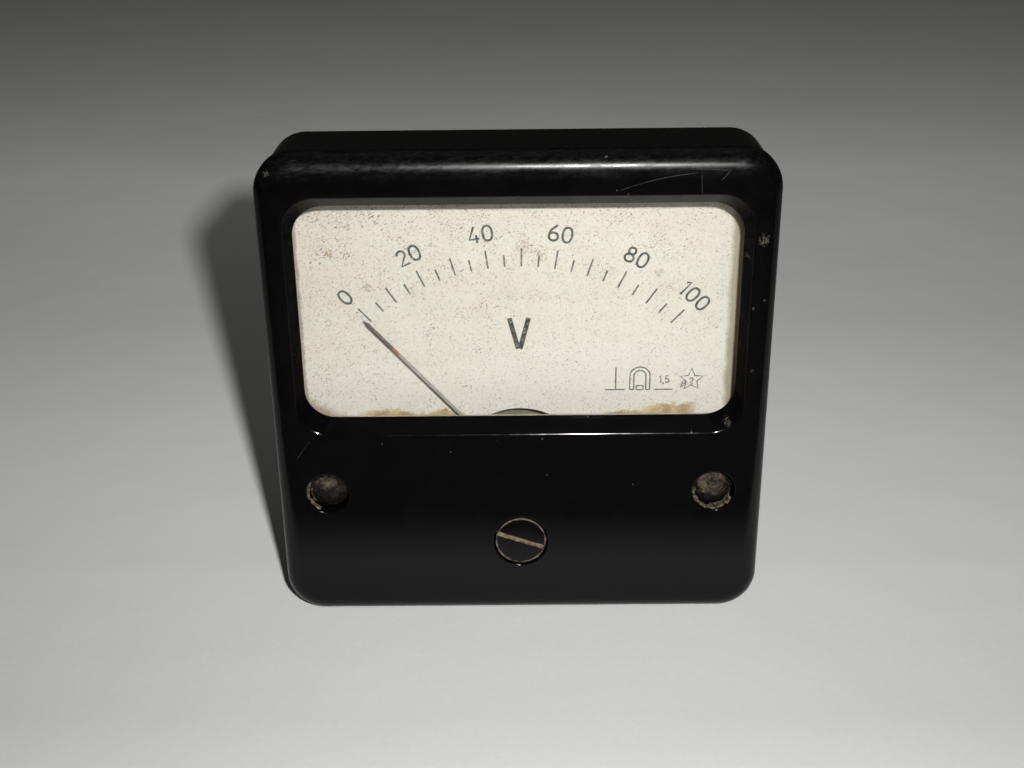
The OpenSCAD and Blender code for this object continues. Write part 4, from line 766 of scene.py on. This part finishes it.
def roughen(piece, size, amount, seed):
    """Lumps from a clouds pattern. A seed moves the piece through the pattern while it is displaced."""
    pattern = bpy.data.textures.new("lumps", type="CLOUDS")
    pattern.noise_scale = size
    pattern.noise_depth = 3
    stand(piece, (seed, 0, 0))
    finish_with(piece, "DISPLACE", texture=pattern, texture_coords="LOCAL", strength=amount)
    return stand(piece, (-seed, 0, 0))


def dirt_band(name, x, z, y, inner, outer, start, sweep, height, seed):
    """A low ragged band round part of a circle: a bar drawn out and spun about an axis along Y."""
    clear()
    bpy.ops.mesh.primitive_plane_add(size=1, location=(x + (inner + outer) / 2, y, z))
    piece = fresh(name)
    piece.scale = (outer - inner, height, 1)
    fix_place(piece)
    edit(piece)
    whole()
    bpy.ops.mesh.subdivide(number_cuts=2)
    bpy.ops.transform.rotate(value=radians(start), orient_axis="Y", center_override=(x, y, z))
    bpy.ops.mesh.spin(steps=max(24, int(sweep / 2.2)), angle=radians(sweep), center=(x, y, z), axis=(0, 1, 0))
    whole()
    bpy.ops.mesh.remove_doubles(threshold=0.0005)
    point_outwards()
    leave()
    return roughen(piece, 0.7, height * 1.1, seed)


def old_dirt(piece, name, finish, angle, body="case"):
    settle(piece, name, finish, "moulded_black", body=body, crisp=False, angle=angle)


ring = dirt_band("ring", 0, ADJUSTER_Z, -16.76, 3.96, 4.2, 0, 359.9, 0.16, 31.0)
old_dirt(ring, "adjuster_dirt_ring", ring_dirt, 60, "zero_adjuster")
filling = block("filling", (-4.15, -16.66, -0.43), (4.15, -16.12, 0.43))
edit(filling)
whole()
bpy.ops.mesh.subdivide(number_cuts=18)
leave()
roughen(filling, 0.55, 0.34, seed=7.0)
stand(filling, (0, 0, ADJUSTER_Z), (0, SLOT_TURN, 0))
old_dirt(filling, "adjuster_slot_dirt", tan_dirt, 60, "zero_adjuster")

# Cover screws under their wax
screw = turned("screw", 0, 0, [(-15.2, 2.1), (-15.12, 2.45), (-14.98, 2.62), (-14.8, 2.7), (-13.4, 2.7),
                               (-13.4, 1.45), (-1.0, 1.45), (-0.6, 1.1)], 48)
cut(screw, block("slot", (-4, -16, -0.45), (4, -14.3, 0.45)))
screws = [copy_at(screw, (side * SCREW_X, 0, SCREW_Z), radians(side * 35)) for side in SIDES]
bpy.data.objects.remove(screw)
settle(join("screws", screws), "cover_fixing_screws", blackened, "aged_brass", "cover_screws")


def lump(name, x, y, z, size, coarse, fine, seed):
    """A lump of old wax or dirt: a ball flattened, roughened at two sizes and pushed into its place."""
    clear()
    bpy.ops.mesh.primitive_uv_sphere_add(segments=56, ring_count=28, radius=1)
    piece = fresh(name)
    piece.scale = size
    fix_place(piece)
    roughen(piece, 1.1, coarse, seed)
    roughen(piece, 0.3, fine, seed + 5.0)
    return stand(piece, (x, y, z))


for side, word in zip(SIDES, ("left", "right")):
    bed = lump("bed", side * SCREW_X, -14.7, SCREW_Z, (3.35, 1.1, 3.35), 0.5, 0.24, 13.0 * side)
    old_dirt(bed, "recess_wax_" + word, wax, 70)
cap_left = lump("cap", -32.0, -15.5, -15.55, (1.9, 0.75, 1.15), 0.5, 0.25, 23.0)
old_dirt(cap_left, "recess_flake_left", flaked_wax, 50)
cap_right = lump("cap", 31.6, -15.45, -16.2, (2.45, 0.8, 2.2), 0.4, 0.28, 41.0)
old_dirt(cap_right, "recess_flake_right", flaked_wax, 50)
# Ends of the names, and side, y, inner and outer radius, start and sweep in degrees, and height of each band.
DUST_BANDS = (("left", -1, -16.4, 3.14, 3.44, 148, 96, 0.6), ("inner_left", -1, -15.9, 2.72, 2.84, 160, 60, 0.4),
              ("right", 1, -16.3, 3.0, 3.45, 172, 160, 0.7), ("inner_right", 1, -16.1, 2.70, 2.84, 262, 100, 0.4))
for word, side, y, inner, outer, start, sweep, height in DUST_BANDS:
    band = dirt_band("dust", side * SCREW_X, SCREW_Z, y, inner, outer, start, sweep, height, 17.0 * side + y)
    old_dirt(band, "recess_dust_" + word, dust, 60)


# Printing on the scale
def arc(cx, cy, rx, ry, start, end, steps):
    return [(cx + rx * cos(radians(start + (end - start) * i / steps)),
             cy + ry * sin(radians(start + (end - start) * i / steps))) for i in range(steps + 1)]


def oval(cx, cy, rx, ry, squareness, steps=36):
    points = []
    for i in range(steps):
        a = tau * i / steps
        c, s = cos(a), sin(a)
        points.append((cx + rx * copysign(abs(c) ** (2 / squareness), c),
                       cy + ry * copysign(abs(s) ** (2 / squareness), s)))
    return points


# Strokes of each figure in a height of one, with its width. A closed stroke is marked True.
FIGURES = {
    "0": (0.62, [(oval(0.31, 0.5, 0.245, 0.445, 2.35), True)]),
    "1": (0.38, [([(0.09, 0.79), (0.28, 0.97), (0.28, 0.0)], False)]),
    "2": (0.58, [(arc(0.285, 0.705, 0.215, 0.24, 172, -38, 16) + [(0.055, 0.055), (0.54, 0.055)], False)]),
    "4": (0.62, [([(0.37, 1.0), (0.06, 0.245), (0.58, 0.245)], False),
                 ([(0.44, 0.48), (0.44, 0.0)], False)]),
    "5": (0.56, [([(0.49, 0.945), (0.13, 0.945), (0.10, 0.53)]
                  + arc(0.265, 0.315, 0.235, 0.26, 112, -140, 16), False)]),
    "6": (0.60, [(oval(0.30, 0.295, 0.235, 0.24, 2.1), True),
                 ([(0.43, 1.0)] + arc(0.565, 0.33, 0.50, 0.62, 118, 180, 10), False)]),
    "8": (0.60, [(oval(0.30, 0.735, 0.185, 0.205, 2.1), True),
                 (oval(0.30, 0.29, 0.235, 0.235, 2.1), True)]),
}
FIGURE_GAP, FIGURE_SPREAD = 0.11, 1.1


def figures(text, centre, height, lean):
    """Strokes of a number, centred on a place and leaning clockwise by an angle. Widths are in heights."""
    total = sum(FIGURES[c][0] for c in text) + FIGURE_GAP * (len(text) - 1)
    u, strokes = -total / 2, []
    ca, sa = cos(radians(lean)), sin(radians(lean))
    for c in text:
        wide, parts = FIGURES[c]
        for points, closed in parts:
            moved = []
            for px, py in points:
                a, b = (u + px) * height * FIGURE_SPREAD, (py - 0.5) * height
                moved.append((centre[0] + a * ca + b * sa, centre[1] - a * sa + b * ca))
            strokes.append((moved, closed))
        u += wide + FIGURE_GAP
    return strokes


INK_THICKNESS, PRINT_RAISE = 0.05, 0.38


def printed(name, strokes, width, finish):
    """Lines of ink: flat ribbons a little proud of the scale."""
    drawing = bpy.data.curves.new(name, "CURVE")
    drawing.dimensions = "3D"
    drawing.bevel_depth = width / 2
    drawing.bevel_resolution = 2
    drawing.use_fill_caps = True
    for points, closed in strokes:
        line = drawing.splines.new("POLY")
        line.points.add(len(points) - 1)
        for point, (x, z) in zip(line.points, points):
            point.co = (x, 0, z, 1)
        line.use_cyclic_u = closed
    piece = bpy.data.objects.new(name, drawing)
    bpy.context.scene.collection.objects.link(piece)
    only(piece)
    bpy.ops.object.convert(target="MESH")
    piece = bpy.context.object
    piece.scale = (1, INK_THICKNESS / width, 1)
    fix_place(piece)
    stand(piece, (0, SCALE_FACE, 0))
    settle(piece, name, finish, "scale_enamel", angle=60, crisp=False)


def from_pivot(radius, angle):
    """A place on the scale. The printing sits a little high on its plate."""
    a = radians(angle)
    return radius * sin(a), PIVOT_Z + radius * cos(a) + PRINT_RAISE


TICK_FOOT, LONG_TICK, SHORT_TICK, NUMBER_AT, FIGURE_HEIGHT = 35.8, 38.85, 37.8, 41.65, 2.75
TICK_STEPS = 20
tick_lines = []
for i in range(TICK_STEPS + 1):
    angle = ZERO_ANGLE + FULL_SWEEP * i / TICK_STEPS
    top = SHORT_TICK if i % 2 else LONG_TICK
    tick_lines.append(([from_pivot(TICK_FOOT, angle), from_pivot(top, angle)], False))
printed("scale_ticks", tick_lines, 0.29, tick_ink)
numbers = []
for text, angle in (("0", -42.36), ("20", -24.84), ("40", -8.27), ("60", 9.33), ("80", 26.97), ("100", 42.9)):
    numbers += figures(text, from_pivot(NUMBER_AT, angle), FIGURE_HEIGHT, angle)
printed("scale_numbers", numbers, 0.38, dial_ink)
letter = [([(side * 1.57, 10.35), (side * 0.16, 4.95)], False) for side in SIDES]
printed("scale_letter", letter, 0.80, bold_ink)
# The signs: upright use, moving coil, accuracy class and test voltage.
SIGN_FOOT, MAGNET_X, OUTER_BEND, INNER_BEND, BEND_Z = -2.55, 19.95, 1.66, 1.0, -0.1
STAR_X, STAR_Z, STAR_OUT, STAR_IN = 28.5, -0.85, 2.0, 0.92
signs = [([(15.95, SIGN_FOOT), (15.95, 1.5)], False), ([(14.2, SIGN_FOOT), (17.45, SIGN_FOOT)], False)]
for r in (OUTER_BEND, INNER_BEND):
    signs.append(([(MAGNET_X - r, SIGN_FOOT), (MAGNET_X - r, BEND_Z)]
                  + arc(MAGNET_X, BEND_Z, r, r * 0.96, 180, 0, 16) + [(MAGNET_X + r, SIGN_FOOT)], False))
for side in SIDES:
    signs.append(([(MAGNET_X + side * r, SIGN_FOOT) for r in (INNER_BEND, OUTER_BEND)], False))
signs.append((oval(MAGNET_X, SIGN_FOOT + 0.32, 0.58, 0.38, 5.0, 28), True))
signs.append(([(22.4, SIGN_FOOT), (25.4, SIGN_FOOT)], False))
star = []
for i in range(10):
    a = radians(90 + 36 * i)
    r = STAR_IN if i % 2 else STAR_OUT
    star.append((STAR_X + r * cos(a), STAR_Z + r * sin(a)))
signs.append((star, True))
printed("scale_signs", signs, 0.24, faint_ink)
small = figures("1", (23.3, -0.72), 1.3, 0) + figures("5", (24.45, -0.72), 1.3, 0)
small += figures("2", (STAR_X, -1.0), 1.05, 0)
small.append(([(23.88, -1.3), (23.80, -1.62)], False))
printed("scale_small_figures", small, 0.23, faint_ink)
tip = turned("tip", 0, 0, [(0, 0.34), (0.25, 0.345), (0.8, 0.30), (2.4, 0.16), (3.4, 0.07)], 24)
stand(tip, (0, 0, TIP_FOOT), (pi / 2, 0, 0))
stand(tip, (0, POINTER_Y, PIVOT_Z), (0, radians(ZERO_ANGLE), 0))
settle(tip, "pointer_tip", pointer_finish, "aluminium", body="moving_element", angle=50)


# Studs, nuts and terminals
def threaded(name, x, z, y0, y1, radius, pitch):
    """A rod with a helical ridge: a three-sided section carried round and along by a screw modifier."""
    depth = 0.55 * pitch
    core = turned(name, x, z, [(y0, radius - depth), (y1, radius - depth)], 32)
    turns = int((y1 - y0 - pitch) / pitch)
    clear()
    bpy.ops.mesh.primitive_circle_add(vertices=3, rotation=(pi / 2, 0, pi / 2))
    ridge = fix_place(bpy.context.object)
    points = [(radius - depth - 0.08, -0.46 * pitch), (radius, 0.0), (radius - depth - 0.08, 0.46 * pitch)]
    for vertex, (out, along) in zip(ridge.data.vertices, points):
        vertex.co = (out, 0, along)
    finish_with(ridge, "SCREW", angle=tau, screw_offset=pitch, iterations=turns, steps=20,
                render_steps=20, axis="Z", use_normal_calculate=True)
    edit(ridge, "EDGE")
    bpy.ops.mesh.select_non_manifold()
    bpy.ops.mesh.edge_face_add()
    leave()
    stand(ridge, (x, y0 + pitch * 0.5, z), (-pi / 2, 0, 0))
    return join(name, [core, ridge])


def hexagon_nut(name, flats, thick, bore):
    """A nut lying on y = 0: six sides, both faces turned down at the corners, and a countersunk bore."""
    clear()
    radius = flats / 2 / cos(pi / 6)
    bpy.ops.mesh.primitive_cylinder_add(vertices=6, radius=radius, depth=thick, location=(0, thick / 2, 0),
                                        rotation=(pi / 2, 0, 0))
    nut = fix_place(fresh(name))
    flat, drop, clear_of = flats / 2 - 0.15, 0.42, radius + 0.02
    form = turned("form", 0, 0, [(0, flat), (drop, clear_of), (thick - drop, clear_of), (thick, flat)], 72)
    combine(nut, form, "INTERSECT")
    sink = 0.35
    cut(nut, turned("bore", 0, 0, [(-0.5, bore + sink), (0, bore + sink), (sink, bore), (thick - sink, bore),
                                   (thick, bore + sink), (thick + 0.5, bore + sink)], 40))
    return nut


NUT_FLATS, TERMINAL_R, STUD_R = 7.0, 2.0, 1.5
nut = hexagon_nut("nut", NUT_FLATS, 2.6, 2.02)
nuts = []
for side in SIDES:
    nuts.append(copy_at(nut, (side * TERMINAL_X, 30.2, 0), radians(11 * side)))
    nuts.append(copy_at(nut, (side * TERMINAL_X, 33.6, 0), radians(38 - 9 * side)))
bpy.data.objects.remove(nut)
settle(join("nuts", nuts), "terminal_nut_set", aged_brass, "aged_brass", "terminal_nuts")
terminals = []
for side in SIDES:
    x = side * TERMINAL_X
    terminals += [turned("shank", x, 0, [(24.5, TERMINAL_R), (29.4, TERMINAL_R)], 32),
                  threaded("thread", x, 0, 29.0, 36.5, TERMINAL_R, 0.7),
                  turned("end", x, 0, [(36.3, 1.6), (41.6, 1.6), (41.9, 1.45), (42.0, 1.2)], 32)]
    foot = hexagon_nut("foot", NUT_FLATS, 2.8, 0.8)
    terminals.append(stand(foot, (x, 21.65, 0)))
settle(join("terminals", terminals), "terminal_stud_pair", aged_brass, "aged_brass", "terminal_studs")
studs = []
for x in (-STUD_AT, STUD_AT):
    for z in (-STUD_AT, STUD_AT):
        studs += [turned("root", x, z, [(-3.35, 2.4), (-0.02, 2.4), (0, 2.3)], 32),
                  turned("shank", x, z, [(-0.1, STUD_R), (2.0, STUD_R)], 32),
                  threaded("thread", x, z, 1.8, 13.7, STUD_R, 0.5),
                  turned("point", x, z, [(13.6, 1.2), (13.85, 1.2), (14.0, 1.0)], 32)]
settle(join("studs", studs), "panel_stud_set", steel, "steel", "panel_studs")


# Table, lamps and camera
FLOOR_Z = -0.040
# Painted light and shade on the floor: camera rays see it brighter behind and beside the meter, and dimmer before
# it and under the lamp.
PAINTED_FLOOR_LIGHT = ((0.0, 0.27, 1.0, 3.5), (0.12, 0.0, 1.0, 1.38),
              (-0.005, -0.045, 1.0, 0.74), (-0.065, -0.17, 1.0, 0.35))
# Glossy rays see the floor dark from here forwards, so the polished face mirrors a dark floor: a painted dark
# reflection, while camera rays still see the pale sheet.
PAINTED_DARK_REFLECTION = (-0.034, -0.050)


def table_top():
    clear()
    bpy.ops.mesh.primitive_plane_add(size=2.4, location=(0, 0.6, FLOOR_Z))
    top = fix_place(fresh("table_top"))
    f = Finish("pale paper", Specular_IOR_Level=0.2)
    drift = f.cloud(9.0, 4.0, 0.5)
    grain = f.cloud(900.0, 3.0, 0.6)
    colour = f.blend(drift, (0.72, 0.73, 0.735), (0.80, 0.81, 0.81))
    colour = f.blend(f.level(grain, 0.3, 0.7, 0, 0.08), colour, (0.40, 0.40, 0.40))
    path, y = f.add("LightPath").outputs, f.coordinate(1)
    shown = f.times(*(f.level(y, *share) for share in PAINTED_FLOOR_LIGHT))
    seen = f.add("VectorMath", {0: colour, "Scale": shown}, operation="SCALE").outputs[0]
    colour = f.blend(path["Is Camera Ray"], colour, seen)
    colour = f.blend(f.times(path["Is Glossy Ray"], f.level(y, *PAINTED_DARK_REFLECTION)), colour, (0.03, 0.03, 0.03))
    f.give(Base_Color=colour, Roughness=f.level(grain, 0.3, 0.7, 0.8, 0.9))
    f.relief(drift, 0.003, 0.4)
    top.data.materials.append(f.material)


def lamp(name, place, aim, size, power, colour):
    """A round lamp. Its place, aim and size are in metres."""
    bpy.ops.object.light_add(type="AREA", location=place)
    made = fresh(name)
    made.data.shape = "DISK"
    made.data.size = size
    made.data.energy = power
    made.data.color = colour
    made.rotation_euler = (Vector(aim) - Vector(place)).to_track_quat("-Z", "Y").to_euler()
    return made


table_top()
lamp("key_lamp", (0.0215, -0.215, 0.107), aim=(0.0, -0.01, 0.005), size=0.010, power=0.59,
     colour=(1.0, 0.99, 0.97))
lamp("fill_lamp", (0.05, 0.15, 0.70), aim=(0.0, 0.05, 0.0), size=0.6, power=0.08, colour=(1.0, 0.985, 0.94))
back_lamp = lamp("back_lamp", (0.01, 0.20, -0.012), aim=(0.0, 0.0, 0.0), size=0.04, power=0.008,
                 colour=(1.0, 1.0, 0.99))
back_lamp.data.spread = radians(26)
back_lamp.visible_camera = False
world = bpy.data.worlds.new("room")
bpy.context.scene.world = world
world.use_nodes = True
background = world.node_tree.nodes["Background"]
background.inputs["Color"].default_value = (1.0, 0.98, 0.92, 1)
background.inputs["Strength"].default_value = 0.016

bpy.ops.object.camera_add(location=(0.00051, -0.20973, 0.08836),
                          rotation=(radians(66.048), radians(0.631), radians(0.22)))
camera = bpy.context.object
camera.name = "camera"
camera.data.lens = 46.793
camera.data.sensor_width = 36
camera.data.clip_start = 0.005
bpy.context.scene.camera = camera
bpy.context.scene.view_settings.view_transform = "Standard"
